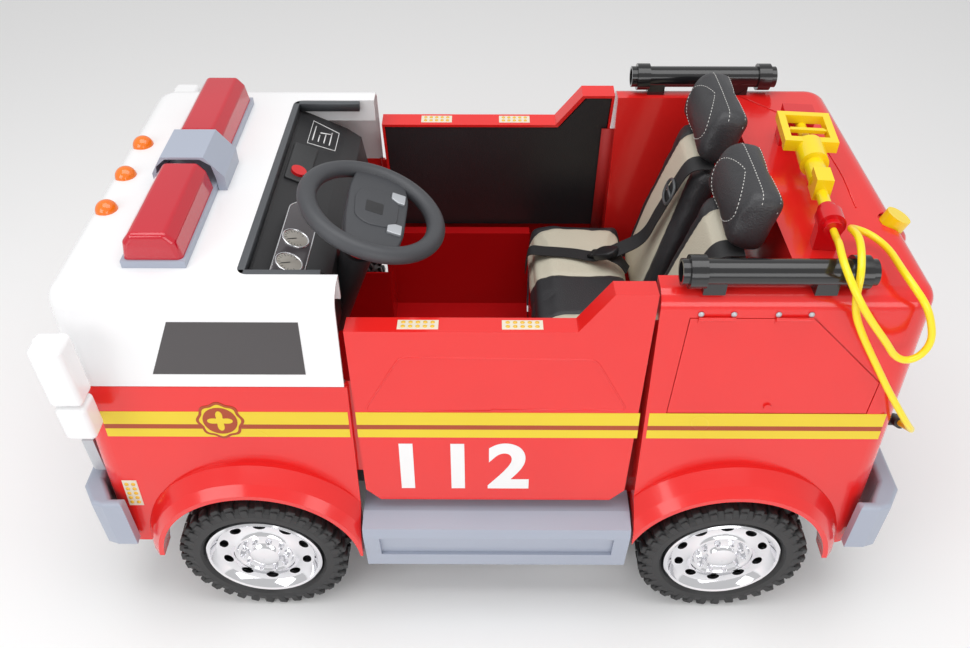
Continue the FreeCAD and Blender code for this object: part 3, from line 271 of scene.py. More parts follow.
# ---------------------------------------------------------------- Bumpers, steps and roof furniture
# Grey-blue polypropylene mouldings with a satin skin; black ones have a leather-like grain.
# Lamp covers are thin clear-tinted styrene, very glossy.
grey = moulded("grey_polypropylene", (0.40, 0.435, 0.52), (0.35, 0.385, 0.47), 0.28, 0.4, wave=0.0012,
               grain=0.2)
black = moulded("black_grained", (0.016, 0.016, 0.018), (0.024, 0.024, 0.026), 0.34, 0.5, wave=0.0009,
                grain=1.0, grain_scale=650.0)
gloss_black = moulded("black_gloss", (0.010, 0.010, 0.011), (0.014, 0.014, 0.015), 0.12, 0.2, wave=0.0008,
                      grain=0.04, coat=0.3)
red_trim = moulded("red_gloss_trim", (0.70, 0.006, 0.010), (0.6, 0.004, 0.008), 0.14, 0.24, grain=0.05,
                   coat=0.3)
lens_red = moulded("red_lens", (0.60, 0.004, 0.022), (0.45, 0.002, 0.014), 0.06, 0.12, wave=0.001, grain=0.02,
                   coat=0.6)
lens_orange = moulded("orange_lens", (0.95, 0.22, 0.01), (0.85, 0.15, 0.005), 0.06, 0.12, wave=0.0008,
                      coat=0.6)
silver = moulded("silver_plastic", (0.55, 0.57, 0.60), (0.48, 0.50, 0.53), 0.25, 0.35, metallic=0.4)
steel = moulded("zinc_steel", (0.50, 0.50, 0.50), (0.42, 0.42, 0.43), 0.25, 0.4, metallic=1.0)
yellow = moulded("yellow_plastic", (0.95, 0.72, 0.008), (0.88, 0.62, 0.006), 0.16, 0.28, grain=0.06, coat=0.3)
natural = moulded("natural_tank", (0.78, 0.78, 0.74), (0.70, 0.70, 0.66), 0.35, 0.5)
wheel_grey = moulded("soft_grey", (0.060, 0.063, 0.070), (0.048, 0.050, 0.056), 0.36, 0.5, grain=0.6,
                     grain_scale=700.0)
dress(grey, "front_bumper", "rear_bumper", "side_steps", "lightbar_base", "lightbar_strap")
dress(black, "door_left_panel", "door_right_panel", "dashboard", "foot_pedal", "chassis_tray", "battery",
      "control_box", "motor_gearboxes", "hose_gland")
dress(gloss_black, "rail_tubes")
dress(lens_red, "lightbar_domes")
dress(lens_orange, "beacons")
dress(silver, "headlamps", "horn_button", "music_button")
dress(red_trim, "power_button", "sound_button", "light_stalk", "gun_clip", "hose_coupling")
dress(steel, "steering_shaft", "rear_axle", "door_hinges", "knuckle_left", "knuckle_right", "tie_rod")
dress(yellow, "water_gun", "gun_trigger", "filler_cap")
dress(natural, "water_tank")
dress(wheel_grey, "steering_wheel")
dress(white, "mirror_left", "mirror_right")


# ---------------------------------------------------------------- Tyres
# Blow-moulded plastic tyres with a satin black skin: a plain carcass, square shoulder lugs on both
# edges and two rows of offset blocks between them.
WHEELS = {"front_left": ("wheel_front_left", -1), "front_right": ("wheel_front_right", 1),
          "rear_left": ("rear_wheels_left", -1), "rear_right": ("rear_wheels_right", 1)}


def axle_place(tag, side):
    """Where a wheel's middle is, and the turn that points its outer face away from the truck."""
    low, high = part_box(f"tyre_{tag}")
    middle = (Vector(low) + Vector(high)) / 2
    turn = Matrix.Rotation(math.radians(90.0 * side), 4, "Z")
    return Matrix.Translation(middle) @ turn


def spun(profile, steps=96):
    """A closed ring from a profile of (along the axle, radius) points."""
    bm = bmesh.new()
    verts = [bm.verts.new((a, r, 0.0)) for a, r in profile]
    edges = [bm.edges.new((p, q)) for p, q in zip(verts, verts[1:] + verts[:1])]
    bmesh.ops.spin(bm, geom=verts + edges, cent=(0, 0, 0), axis=(1, 0, 0), angle=math.tau, steps=steps,
                   use_merge=True)
    return bm


def add_block(bm, size, place, turn=0.0, tilt=0.0, bevel=0.0, taper=1.0):
    """One bevelled block at a radius, turned round the axle."""
    made = bmesh.ops.create_cube(bm, size=1.0)["verts"]
    bmesh.ops.scale(bm, vec=size, verts=made)
    for vert in made:
        if vert.co.z > 0:
            vert.co.x *= taper
            vert.co.y *= taper
    bmesh.ops.rotate(bm, cent=(0, 0, 0), matrix=Matrix.Rotation(tilt, 3, "Z"), verts=made)
    bmesh.ops.translate(bm, vec=place, verts=made)
    if bevel:
        edges = list({edge for vert in made for edge in vert.link_edges})
        made = bmesh.ops.bevel(bm, geom=edges, offset=bevel, affect="EDGES", segments=1, profile=0.5,
                               material=-1)["verts"]
    bmesh.ops.rotate(bm, cent=(0, 0, 0), matrix=Matrix.Rotation(turn, 3, "X"), verts=made)


def tyre_mesh():
    half, tread, lug = 0.048, 0.1372, 0.0062
    base = tread - lug
    profile = [(-half + 0.006, 0.098), (-half, 0.103), (-half - 0.0002, 0.113), (-half + 0.001, 0.122),
               (-half + 0.006, base - 0.002), (-half + 0.014, base), (0.0, base + 0.001), (half - 0.014, base),
               (half - 0.006, base - 0.002), (half - 0.001, 0.122), (half + 0.0002, 0.113), (half, 0.103),
               (half - 0.006, 0.098), (half - 0.010, 0.0962), (-half + 0.010, 0.0962)]
    bm = spun(profile, 88)
    count = 34
    for index in range(count):
        angle = math.tau * index / count
        for side in (-1, 1):
            shift = angle + (0.5 * math.tau / count if side > 0 else 0.0)
            shoulder, middle = (side * 0.0365, 0.0, tread - 0.0072), (side * 0.0140, 0.0, tread - 0.0046)
            add_block(bm, (0.020, 0.0155, 0.013), shoulder, shift, 0.12 * side, 0.0014, 0.9)
            add_block(bm, (0.0135, 0.0125, 0.009), middle, shift + 0.06, -0.5 * side, 0.0010, 0.9)
            add_block(bm, (0.0045, 0.0120, 0.016), (side * 0.0462, 0.0, 0.1215), shift, 0.0, 0.0012)
    return bm


rubber = moulded("tyre_black", (0.014, 0.014, 0.015), (0.022, 0.022, 0.023), 0.38, 0.55, wave=0.0006,
                 grain=0.5, grain_scale=500.0)
for tag, (body, side) in WHEELS.items():
    bm = tyre_mesh()
    bmesh.ops.transform(bm, matrix=axle_place(tag, side), verts=bm.verts)
    piece = finish_mesh(f"tyre_{tag}_treaded", bm, rubber, body, smooth=False)
    for face in piece.data.polygons:
        face.use_smooth = face.area > 4e-5 and abs(face.normal.y) < 0.2
    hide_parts(f"tyre_{tag}")


# ---------------------------------------------------------------- Wheel covers
# Vacuum-plated covers moulded as a lorry wheel: a rolled lip, a dished web with ten hand holes,
# ten wheel nuts round a smooth hub cap. A dark carrier shows through the holes.
chrome = moulded("bright_plating", (0.86, 0.86, 0.88), (0.80, 0.80, 0.83), 0.05, 0.12, wave=0.0012, grain=0.02,
                 wave_scale=22.0, metallic=1.0)
HOLES, NUTS = 10, 10


def cover_mesh():
    profile = [(0.040, 0.0955), (0.0455, 0.0945), (0.0475, 0.0915), (0.0460, 0.0880), (0.0400, 0.0850),
               (0.0345, 0.0800), (0.0325, 0.0720), (0.0325, 0.0620), (0.0350, 0.0535), (0.0385, 0.0500),
               (0.0390, 0.0470), (0.0365, 0.0440), (0.0360, 0.0300), (0.0380, 0.0265), (0.0430, 0.0235),
               (0.0460, 0.0170), (0.0475, 0.0080), (0.0478, 0.0006), (0.0300, 0.0006), (0.0285, 0.0580),
               (0.0285, 0.0740), (0.0330, 0.0850), (0.0330, 0.0925), (-0.0330, 0.0925), (-0.0330, 0.0955)]
    return spun(profile, 120)


def cutters():
    bm = bmesh.new()
    for index in range(HOLES):
        made = bmesh.ops.create_cone(bm, cap_ends=True, segments=28, radius1=0.0072, radius2=0.0072,
                                     depth=0.04)["verts"]
        bmesh.ops.scale(bm, vec=(1.0, 1.45, 1.0), verts=made)
        bmesh.ops.rotate(bm, cent=(0, 0, 0), matrix=Matrix.Rotation(math.pi / 2, 3, "Y"), verts=made)
        bmesh.ops.translate(bm, vec=(0.032, 0.0, 0.0685), verts=made)
        turn = Matrix.Rotation(math.tau * index / HOLES, 3, "X")
        bmesh.ops.rotate(bm, cent=(0, 0, 0), matrix=turn, verts=made)
    return bm


def nuts(bm):
    for index in range(NUTS):
        turn = Matrix.Rotation(math.tau * (index + 0.5) / NUTS, 3, "X")
        for sides, low, high, radius in ((6, 0.034, 0.0415, 0.0054), (20, 0.041, 0.0455, 0.0036)):
            made = bmesh.ops.create_cone(bm, cap_ends=True, segments=sides, radius1=radius,
                                         radius2=radius * 0.86, depth=high - low)["verts"]
            bmesh.ops.rotate(bm, cent=(0, 0, 0), matrix=Matrix.Rotation(math.pi / 2, 3, "Y"), verts=made)
            bmesh.ops.translate(bm, vec=((low + high) / 2, 0.0, 0.0365), verts=made)
            bmesh.ops.rotate(bm, cent=(0, 0, 0), matrix=turn, verts=made)
    return bm


def carved(base, tool):
    """The base mesh with the tool mesh cut out of it, both given as bmeshes."""
    pieces = []
    for name, bm in (("carve_base", base), ("carve_tool", tool)):
        bmesh.ops.recalc_face_normals(bm, faces=bm.faces)
        mesh = bpy.data.meshes.new(name)
        bm.to_mesh(mesh)
        bm.free()
        pieces.append(bpy.data.objects.new(name, mesh))
        bpy.context.collection.objects.link(pieces[-1])
    cut = pieces[0].modifiers.new("cut", "BOOLEAN")
    cut.operation, cut.object, cut.solver = "DIFFERENCE", pieces[1], "EXACT"
    graph = bpy.context.evaluated_depsgraph_get()
    result = bmesh.new()
    result.from_mesh(pieces[0].evaluated_get(graph).to_mesh())
    for piece in pieces:
        bpy.data.objects.remove(piece)
    return result


for tag, (body, side) in WHEELS.items():
    bm = nuts(carved(cover_mesh(), cutters()))
    bmesh.ops.transform(bm, matrix=axle_place(tag, side), verts=bm.verts)
    piece = finish_mesh(f"cover_{tag}", bm, chrome, body)
    piece.data.set_sharp_from_angle(angle=math.radians(32))
    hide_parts(f"wheel_{tag}")
    bm = spun([(0.020, 0.0905), (0.022, 0.0905), (0.022, 0.008), (0.020, 0.008)], 64)
    bmesh.ops.transform(bm, matrix=axle_place(tag, side), verts=bm.verts)
    finish_mesh(f"carrier_{tag}", bm, black, body)


# ---------------------------------------------------------------- Seat upholstery
# Foam pads in stitched leatherette. Each one starts from its plain solid, is puffed out by a short
# pressure simulation, and then gets its seams. The bolsters are black and the middles cream.
def hide(name, colour, shade, rough):
    """Leatherette: pores, slow creases and a soft sheen that varies."""
    return moulded(name, colour, shade, rough, rough + 0.14, wave=0.0010, grain=1.6, grain_scale=420.0,
                   wave_scale=14.0)


LEAN_BACK = Matrix.Translation((0.262, 0.0, 0.351)) @ Matrix.Rotation(math.radians(13.0), 4, "Y")


def puffed(bm, cap, voxel=0.005):
    """A foam pad's skin: remeshed, blown up a little by the cloth solver, and held near its solid."""
    mesh = bpy.data.meshes.new("pad")
    bmesh.ops.recalc_face_normals(bm, faces=bm.faces)
    bm.to_mesh(mesh)
    bm.free()
    pad = bpy.data.objects.new("pad", mesh)
    bpy.context.collection.objects.link(pad)
    remesh = pad.modifiers.new("remesh", "REMESH")
    remesh.mode, remesh.voxel_size = "VOXEL", voxel
    graph = bpy.context.evaluated_depsgraph_get()
    even = bpy.data.meshes.new_from_object(pad.evaluated_get(graph))
    pad.modifiers.clear()
    pad.data = even
    cloth = pad.modifiers.new("cloth", "CLOTH")
    cloth.settings.quality = 4
    cloth.settings.mass = 0.4
    cloth.settings.use_pressure = True
    cloth.settings.uniform_pressure_force = 4.0
    cloth.settings.effector_weights.gravity = 0.0
    cloth.settings.tension_stiffness = cloth.settings.compression_stiffness = 15.0
    cloth.point_cache.frame_start, cloth.point_cache.frame_end = 1, 20
    for step in range(1, 21):
        bpy.context.scene.frame_set(step)
    graph = bpy.context.evaluated_depsgraph_get()
    blown = pad.evaluated_get(graph).to_mesh()
    moved = [v.co.copy() for v in blown.vertices]
    pad.modifiers.clear()
    bpy.context.scene.frame_set(1)
    for vert, new in zip(pad.data.vertices, moved):
        shift = new - vert.co
        if shift.length > cap:
            shift *= cap / shift.length
        vert.co += shift
    out = bmesh.new()
    out.from_mesh(pad.data)
    bmesh.ops.smooth_vert(out, verts=out.verts, factor=0.5, use_axis_x=True, use_axis_y=True, use_axis_z=True)
    bpy.data.objects.remove(pad)
    return out


def soft_block(points, width, round_by, segments=4):
    """A slab from a side profile of (x, z) points, width across, with all its edges rounded."""
    bm = bmesh.new()
    ring = [bm.verts.new((x, -width / 2, z)) for x, z in points]
    face = bm.faces.new(ring)
    made = bmesh.ops.extrude_face_region(bm, geom=[face])["geom"]
    bmesh.ops.translate(bm, vec=(0, width, 0), verts=[g for g in made if isinstance(g, bmesh.types.BMVert)])
    bmesh.ops.recalc_face_normals(bm, faces=bm.faces)
    bmesh.ops.bevel(bm, geom=list(bm.edges), offset=round_by, affect="EDGES", segments=segments, profile=0.5,
                    material=-1)
    return bm


# ---------------------------------------------------------------- Seat pads
# One bench cushion, two backs and two winged headrests. Cream panels are let into black bolsters;
# each seam is a drawn-in groove.
def rounded_box(point, middle, half, corner):
    """Signed distance into a rounded rectangle, positive inside."""
    dx, dy = abs(point[0] - middle[0]) - half[0] + corner, abs(point[1] - middle[1]) - half[1] + corner
    return -(math.hypot(max(dx, 0.0), max(dy, 0.0)) + min(max(dx, dy), 0.0) - corner)


def cream_material():
    """Leatherette that turns cream where the panel attribute is positive."""
    material = hide("seat_hide", (0.028, 0.028, 0.031), (0.040, 0.040, 0.044), 0.36)
    tree = material.node_tree
    group = next(n for n in tree.nodes if n.type == "GROUP")
    where = tree.nodes.new("ShaderNodeAttribute")
    where.attribute_name = "panel"
    edge = tree.nodes.new("ShaderNodeMapRange")
    edge.inputs["From Min"].default_value, edge.inputs["From Max"].default_value = -0.0002, 0.0002
    tree.links.new(where.outputs["Fac"], edge.inputs["Value"])
    for socket, dark, light in (("Colour", (0.028, 0.028, 0.031, 1), (0.72, 0.68, 0.55, 1)),
                                ("Shade", (0.040, 0.040, 0.044, 1), (0.62, 0.57, 0.45, 1))):
        mix = tree.nodes.new("ShaderNodeMix")
        mix.data_type = "RGBA"
        mix.inputs[6].default_value, mix.inputs[7].default_value = dark, light
        tree.links.new(edge.outputs["Result"], mix.inputs[0])
        tree.links.new(mix.outputs[2], group.inputs[socket])
    return material


seat_hide = cream_material()


def seat_pad(name, bm, inside, node, place=Matrix(), cap=0.004):
    """Puffs a pad, records its panel distance, presses the seams in and sets it on the truck."""
    bm = puffed(bm, cap)
    bmesh.ops.subdivide_edges(bm, edges=bm.edges, cuts=1, use_grid_fill=True, smooth=0.6)
    bm.normal_update()
    layer = bm.verts.layers.float.new("panel")
    for vert in bm.verts:
        reach = inside(vert.co, vert.normal)
        vert[layer] = reach
        if abs(reach) < 0.009:
            vert.co -= vert.normal * 0.0026 * (1 - abs(reach) / 0.009) ** 2
    bmesh.ops.transform(bm, matrix=place, verts=bm.verts)
    piece = finish_mesh(name, bm, seat_hide)
    if node:
        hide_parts(node)
    return piece


def bench_inside(point, normal):
    """A cream panel on each seat, waisted along its length; the rear face stays black."""
    side = 1 if point.y > 0 else -1
    flow = 0.010 * math.sin((point.x - 0.07) / 0.18 * math.pi)
    if normal.x >= 0.9 and point.z <= 0.345:
        return -1.0
    return rounded_box((point.x, point.y), (0.16, side * 0.126), (0.140, 0.064 + flow), 0.02)


low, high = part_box("seat_cushion")
outline = [(low.x + 0.004, low.z + 0.003), (high.x - 0.004, low.z + 0.003), (high.x - 0.004, high.z - 0.006),
           (low.x + 0.045, high.z - 0.003), (low.x + 0.006, high.z - 0.012)]
bench = soft_block(outline, (high.y - low.y) - 0.010, 0.012)
seat_pad("bench_cushion", bench, bench_inside, "seat_cushion")


def back_inside(point, normal):
    """A tall cream panel, wide at the foot and drawn in towards the headrest."""
    y = abs(abs(point.y) - 0.114)
    half = 0.071 - 0.024 * max(0.0, (point.z - 0.10) / 0.19) ** 1.5
    return min(half - y, 0.285 - point.z) if point.x < 0.03 else -0.05


def head_inside(point, normal):
    """No cream on the headrests."""
    return -0.05


for tag, side in (("driver", -1), ("passenger", 1)):
    outline = [(0.004, -0.034), (0.048, -0.034), (0.048, 0.288), (0.010, 0.288), (0.004, 0.12)]
    bm = soft_block(outline, 0.210, 0.016)
    for vert in bm.verts:
        if vert.co.z > 0.1:
            vert.co.y *= 1 - 0.16 * (vert.co.z - 0.1) / 0.19
    bmesh.ops.translate(bm, vec=(0, 0.114 * side, 0), verts=bm.verts)
    seat_pad(f"seat_back_{tag}", bm, back_inside, "seat_backs", LEAN_BACK)
    outline = [(-0.003, 0.312), (0.012, 0.298), (0.052, 0.298), (0.058, 0.388), (0.018, 0.390), (0.000, 0.372)]
    bm = soft_block(outline, 0.172, 0.018)
    for vert in bm.verts:
        wing = abs(vert.co.y) / 0.086
        vert.co.x -= 0.004 * wing ** 2 if vert.co.x < 0.03 else 0.0
        if vert.co.z > 0.34:
            vert.co.y *= 0.93
    bmesh.ops.translate(bm, vec=(0, 0.114 * side, 0), verts=bm.verts)
    seat_pad(f"headrest_{tag}", bm, head_inside, "headrests", LEAN_BACK)


# ---------------------------------------------------------------- Side graphics
# Cut vinyl film on both leaning sides: a smoked window panel, a yellow double stripe, a plain round
# badge and the general emergency number. Each colour is its own thin film.
LEAN = math.radians(5.44)


def side_frame(side):
    """The leaning side of the body: X along the truck, Y inwards, Z up the lean."""
    rows = ((1, 0, 0, 0), (0, -side * math.cos(LEAN), -side * math.sin(LEAN), side * 0.335),
            (0, -math.sin(LEAN), math.cos(LEAN), 0.245), (0, 0, 0, 1))
    return Matrix(rows)


def up_lean(z):
    return (z - 0.245) / math.cos(LEAN)


def plate(outline, front, back, bevel=0.0):
    """A flat plate from an (x, up) outline, between two depths below the skin."""
    bm = bmesh.new()
    ring = [bm.verts.new((x, back, z)) for x, z in outline]
    face = bm.faces.new(ring)
    made = bmesh.ops.extrude_face_region(bm, geom=[face])["geom"]
    raised = [g for g in made if isinstance(g, bmesh.types.BMVert)]
    bmesh.ops.translate(bm, vec=(0, front - back, 0), verts=raised)
    bmesh.ops.recalc_face_normals(bm, faces=bm.faces)
    if bevel:
        edges = [e for e in bm.edges if all(abs(v.co.y - front) < 1e-7 for v in e.verts)]
        bmesh.ops.bevel(bm, geom=edges, offset=bevel, affect="EDGES", segments=2, profile=0.5, material=-1)
    return bm


def film(name, outline, material, body, side, lift=0.0003):
    """One piece of film on a side; body is a name with LR standing for left or right."""
    bm = plate([(x, up_lean(z)) for x, z in outline], -lift - 0.0002, 0.0001)
    bmesh.ops.transform(bm, matrix=side_frame(side), verts=bm.verts)
    tag = "left" if side < 0 else "right"
    return finish_mesh(f"{name}_{tag}", bm, material, body.replace("LR", tag), smooth=False)


def ring_outline(x, z, radius, count=48, wave=0.0, lobes=8):
    return [(x + (radius + wave * math.cos(lobes * a)) * math.cos(a),
             z + (radius + wave * math.cos(lobes * a)) * math.sin(a))
            for a in (math.tau * i / count for i in range(count))]


def bar(x0, x1, z0, z1):
    return [(x0, z0), (x1, z0), (x1, z1), (x0, z1)]


vinyl_yellow = moulded("film_yellow", (0.82, 0.62, 0.02), (0.76, 0.56, 0.02), 0.22, 0.3, wave=0.0004)
vinyl_brown = moulded("film_brown", (0.42, 0.06, 0.01), (0.36, 0.05, 0.01), 0.22, 0.3, wave=0.0004)
vinyl_smoke = moulded("film_smoke", (0.075, 0.068, 0.070), (0.060, 0.055, 0.057), 0.16, 0.24, wave=0.0004)
vinyl_white = moulded("film_white", (0.88, 0.88, 0.88), (0.82, 0.82, 0.82), 0.25, 0.35, wave=0.0004)
RUNS = (("front", "root", -0.574, -0.2105), ("door", "door_LR", -0.199, 0.218),
        ("rear", "root", 0.2315, 0.578))
for side in (-1, 1):
    for run, body, x0, x1 in RUNS:
        film(f"stripe_wide_{run}", bar(x0, x1, 0.4085, 0.433), vinyl_yellow, body, side)
        film(f"stripe_gap_{run}", bar(x0, x1, 0.3995, 0.4085), vinyl_brown, body, side, 0.0002)
        film(f"stripe_thin_{run}", bar(x0, x1, 0.3835, 0.3995), vinyl_yellow, body, side)
    window = [(-0.480, 0.504), (-0.263, 0.504), (-0.263, 0.595), (-0.442, 0.595)]
    film("window", window, vinyl_smoke, "root", side)
    for name, radius, count, wave, lobes, material, slot, lift in (
            ("badge", 0.034, 64, 0.0018, 8, vinyl_brown, "red_trim", 0.0006),
            ("badge_face", 0.0295, 64, 0.0016, 8, vinyl_yellow, "yellow_plastic", 0.0009),
            ("badge_middle", 0.0255, 48, 0.0, 8, vinyl_brown, "red_trim", 0.0012),
            ("badge_star", 0.013, 64, 0.006, 4, vinyl_yellow, "yellow_plastic", 0.0015)):
        outline = ring_outline(-0.400, 0.416, radius, count, wave, lobes)
        film(name, outline, material, "root", side, lift)
    text = bpy.data.curves.new("digits", "FONT")
    text.body, text.size, text.align_x, text.align_y = "112", 0.128, "CENTER", "CENTER"
    text.offset, text.extrude, text.space_character = 0.0042, 0.0002, 1.22
    letters = bpy.data.objects.new("digits", text)
    bpy.context.collection.objects.link(letters)
    bm = bmesh.new()
    bm.from_mesh(letters.evaluated_get(bpy.context.evaluated_depsgraph_get()).to_mesh())
    bpy.data.objects.remove(letters)
    upright = Matrix(((-side, 0, 0, -0.051), (0, 0, 1, -0.0004), (0, 1, 0, up_lean(0.3175)), (0, 0, 0, 1)))
    bmesh.ops.transform(bm, matrix=side_frame(side) @ upright, verts=bm.verts)
    tag = "left" if side < 0 else "right"
    finish_mesh(f"door_number_{tag}", bm, vinyl_white, f"door_{tag}", smooth=False)


# ---------------------------------------------------------------- Pressed lines and fasteners
# Beads moulded into the blown shells, the screws of the hatch hinges, and a matt strip on the rear
# body behind each door seam, coloured a dark red as painted shade in the seam gap.
def bead(name, points, radius, material, body="root", closed=False):
    """A tube along points in truck coordinates, with rounded corners."""
    data = bpy.data.curves.new(name, "CURVE")
    data.dimensions, data.bevel_depth, data.bevel_resolution = "3D", radius, 3
    data.use_fill_caps = not closed
    run = data.splines.new("POLY")
    run.points.add(len(points) - 1)
    for spot, place in zip(run.points, points):
        spot.co = (*place, 1.0)
    run.use_cyclic_u = closed
    temp = bpy.data.objects.new(name, data)
    bpy.context.collection.objects.link(temp)
    bm = bmesh.new()
    bm.from_mesh(temp.evaluated_get(bpy.context.evaluated_depsgraph_get()).to_mesh())
    bpy.data.objects.remove(temp)
    return finish_mesh(name, bm, material, body)


def bend(before, corner, after, radius, steps):
    """The short curve that takes the place of one corner."""
    first = corner + (before - corner).normalized() * min(radius, (before - corner).length * 0.45)
    last = corner + (after - corner).normalized() * min(radius, (after - corner).length * 0.45)
    return [first * (1 - t) ** 2 + corner * 2 * t * (1 - t) + last * t ** 2
            for t in (step / steps for step in range(steps + 1))]


def eased(points, radius, steps=5):
    """Points with each inner corner replaced by a short curve."""
    points = [Vector(p) for p in points]
    out = [points[0]]
    for corner in zip(points, points[1:], points[2:]):
        out += bend(*corner, radius, steps)
    return out + [points[-1]]


def plate_between(low, high, place):
    """A plain block between two corners of a frame."""
    bm = bmesh.new()
    low, high = Vector(low), Vector(high)
    shape = Matrix.Translation((low + high) / 2) @ Matrix.Diagonal((*(high - low), 1))
    bmesh.ops.create_cube(bm, size=1.0, matrix=place @ shape)
    bmesh.ops.recalc_face_normals(bm, faces=bm.faces)
    return bm


# The jamb strip is the body red at about half brightness: painted shade in the gap behind the door; the matt
# finish is its roughness.
jamb_red_painted_shade = moulded("jamb_red_painted_shade", (0.42, 0.012, 0.010), (0.34, 0.008, 0.007), 0.55, 0.65, grain=0.2)
DOOR_DEPTH, DOOR_CLEARANCE, JAMB_THICKNESS = 0.034, 0.0015, 0.003
for side in (-1, 1):
    tag = "left" if side < 0 else "right"
    place = side_frame(side)
    panel = [(0.00, 0.439), (0.198, 0.439), (0.147, 0.532), (-0.130, 0.535), (-0.186, 0.435), (0.00, 0.437)]
    route = eased([place @ Vector((x, 0.0006, up_lean(z))) for x, z in panel], 0.012)
    bead(f"door_bead_{tag}", route, 0.0016, red, f"door_{tag}")
    for label, x in (("a", 0.303), ("b", 0.407)):
        for index, dx in enumerate((-0.022, 0.022)):
            bm = bmesh.new()
            bmesh.ops.create_uvsphere(bm, u_segments=14, v_segments=8, radius=0.0042)
            bmesh.ops.scale(bm, vec=(1, 0.5, 1), verts=bm.verts)
            spot = place @ Matrix.Translation((x + dx, -0.0012, 0.368))
            bmesh.ops.transform(bm, matrix=spot, verts=bm.verts)
            finish_mesh(f"hatch_screw_{label}{index}_{tag}", bm, silver, "root")
    behind = DOOR_DEPTH + DOOR_CLEARANCE
    jamb = plate_between((0.204, behind, 0.020), (0.2315, behind + JAMB_THICKNESS, 0.330), place)
    finish_mesh(f"rear_jamb_{tag}", jamb, jamb_red_painted_shade, "root")
deck_line = [(0.440, 0.262, 0.6402), (0.545, 0.150, 0.6402), (0.551, 0.0, 0.6402), (0.545, -0.090, 0.6402)]
bead("deck_bead", eased(deck_line, 0.02), 0.0013, red, "root")


# ---------------------------------------------------------------- Marker stickers
# Domed resin stickers with two rows of five amber dots on a pale ground, on the door rails and the
# front corners.
resin = moulded("sticker_ground", (0.80, 0.74, 0.60), (0.74, 0.68, 0.54), 0.15, 0.22, wave=0.0003)
amber = moulded("sticker_amber", (0.85, 0.50, 0.03), (0.75, 0.42, 0.02), 0.12, 0.2, wave=0.0003, coat=0.4)


def marker(name, place, width, height, body):
    """A sticker in the plane of place's X and Z, facing along its -Y."""
    bm = plate([(-width / 2, -height / 2), (width / 2, -height / 2), (width / 2, height / 2),
                (-width / 2, height / 2)], -0.0009, 0.0001, 0.0004)
    bmesh.ops.transform(bm, matrix=place, verts=bm.verts)
    finish_mesh(name, bm, resin, body, smooth=False)
    dots = bmesh.new()
    across = width >= height
    for row in (-0.5, 0.5):
        for col in (-2, -1, 0, 1, 2):
            x, z = (col, row) if across else (row, col)
            x, z = x * width / (5.6 if across else 2.2), z * height / (2.2 if across else 5.6)
            spot = Matrix.Translation((x, -0.0009, z)) @ Matrix.Diagonal((1, 0.5, 1, 1))
            bmesh.ops.create_uvsphere(dots, u_segments=10, v_segments=6, radius=min(width, height) / 6.5,
                                      matrix=spot)
    bmesh.ops.transform(dots, matrix=place, verts=dots.verts)
    finish_mesh(name + "_dots", dots, amber, body)


for side in (-1, 1):
    tag = "left" if side < 0 else "right"
    flat = side_frame(side)
    for label, x in (("front", -0.102), ("rear", 0.0425)):
        top = flat @ Matrix.Translation((x, 0.0165, 0.3362)) @ Matrix.Rotation(math.radians(-90), 4, "X")
        marker(f"rail_marker_{label}_{tag}", top, 0.057, 0.021, f"door_{tag}")
    corner = flat @ Matrix.Translation((-0.5655, -0.0002, up_lean(0.2615)))
    marker(f"corner_marker_{tag}", corner, 0.023, 0.056, "root")


# ---------------------------------------------------------------- Steering wheel
# Soft grey moulding: a thick rim on a shield-shaped pad with a recessed square, and two silver horn and
# music keys.
WHEEL = Matrix.Translation((-0.173, -0.130, 0.660)) @ Matrix.Rotation(math.radians(21.4), 4, "Y")


def slab(outline, low, high, bevel, place, segments=3):
    """A plate from an (x, y) outline between two heights in a frame, with its top edges rounded."""
    bm = bmesh.new()
    ring = [bm.verts.new((x, y, low)) for x, y in outline]
    face = bm.faces.new(ring)
    made = bmesh.ops.extrude_face_region(bm, geom=[face])["geom"]
    raised = [g for g in made if isinstance(g, bmesh.types.BMVert)]
    bmesh.ops.translate(bm, vec=(0, 0, high - low), verts=raised)
    bmesh.ops.recalc_face_normals(bm, faces=bm.faces)
    if bevel:
        edges = [e for e in bm.edges if all(abs(v.co.z - high) < 1e-7 for v in e.verts)]
        bmesh.ops.bevel(bm, geom=edges, offset=bevel, affect="EDGES", segments=segments, profile=0.5,
                        material=-1)
    bmesh.ops.transform(bm, matrix=place, verts=bm.verts)
    return bm


def faired(points, cuts=3):
    """Rounds an outline by cutting its corners over and over."""
    for _ in range(cuts):
        points = [(p[0] * a + q[0] * (1 - a), p[1] * a + q[1] * (1 - a))
                  for p, q in zip(points, points[1:] + points[:1]) for a in (0.75, 0.25)]
    return points


def rounded(points, radius, steps=4):
    """A closed outline with each corner replaced by a short curve."""
    points = [Vector(p) for p in points]
    out = []
    for corner in zip(points[-1:] + points[:-1], points, points[1:] + points[:1]):
        out += [(spot.x, spot.y) for spot in bend(*corner, radius, steps)]
    return out


bm = bmesh.new()
for index in range(96):
    angle = math.tau * index / 96
    for turn in range(20):
        around = math.tau * turn / 20
        squeeze = 1 + 0.05 * math.cos(2 * angle)
        radius = 0.097 + 0.0134 * math.cos(around) * squeeze
        bm.verts.new((radius * math.cos(angle), radius * math.sin(angle), 0.0126 * math.sin(around)))
bm.verts.ensure_lookup_table()
for index in range(96):
    for turn in range(20):
        a, b = index * 20, ((index + 1) % 96) * 20
        bm.faces.new([bm.verts[a + turn], bm.verts[b + turn], bm.verts[b + (turn + 1) % 20],
                      bm.verts[a + (turn + 1) % 20]])
bmesh.ops.transform(bm, matrix=WHEEL, verts=bm.verts)
rim = finish_mesh("steering_rim", bm, wheel_grey, "steering")
spread = rounded([(-0.032, -0.089), (0.042, -0.086), (0.050, -0.042), (0.051, 0.044), (0.042, 0.086),
                  (-0.034, 0.089), (-0.040, 0.046), (-0.038, -0.030)], 0.012)
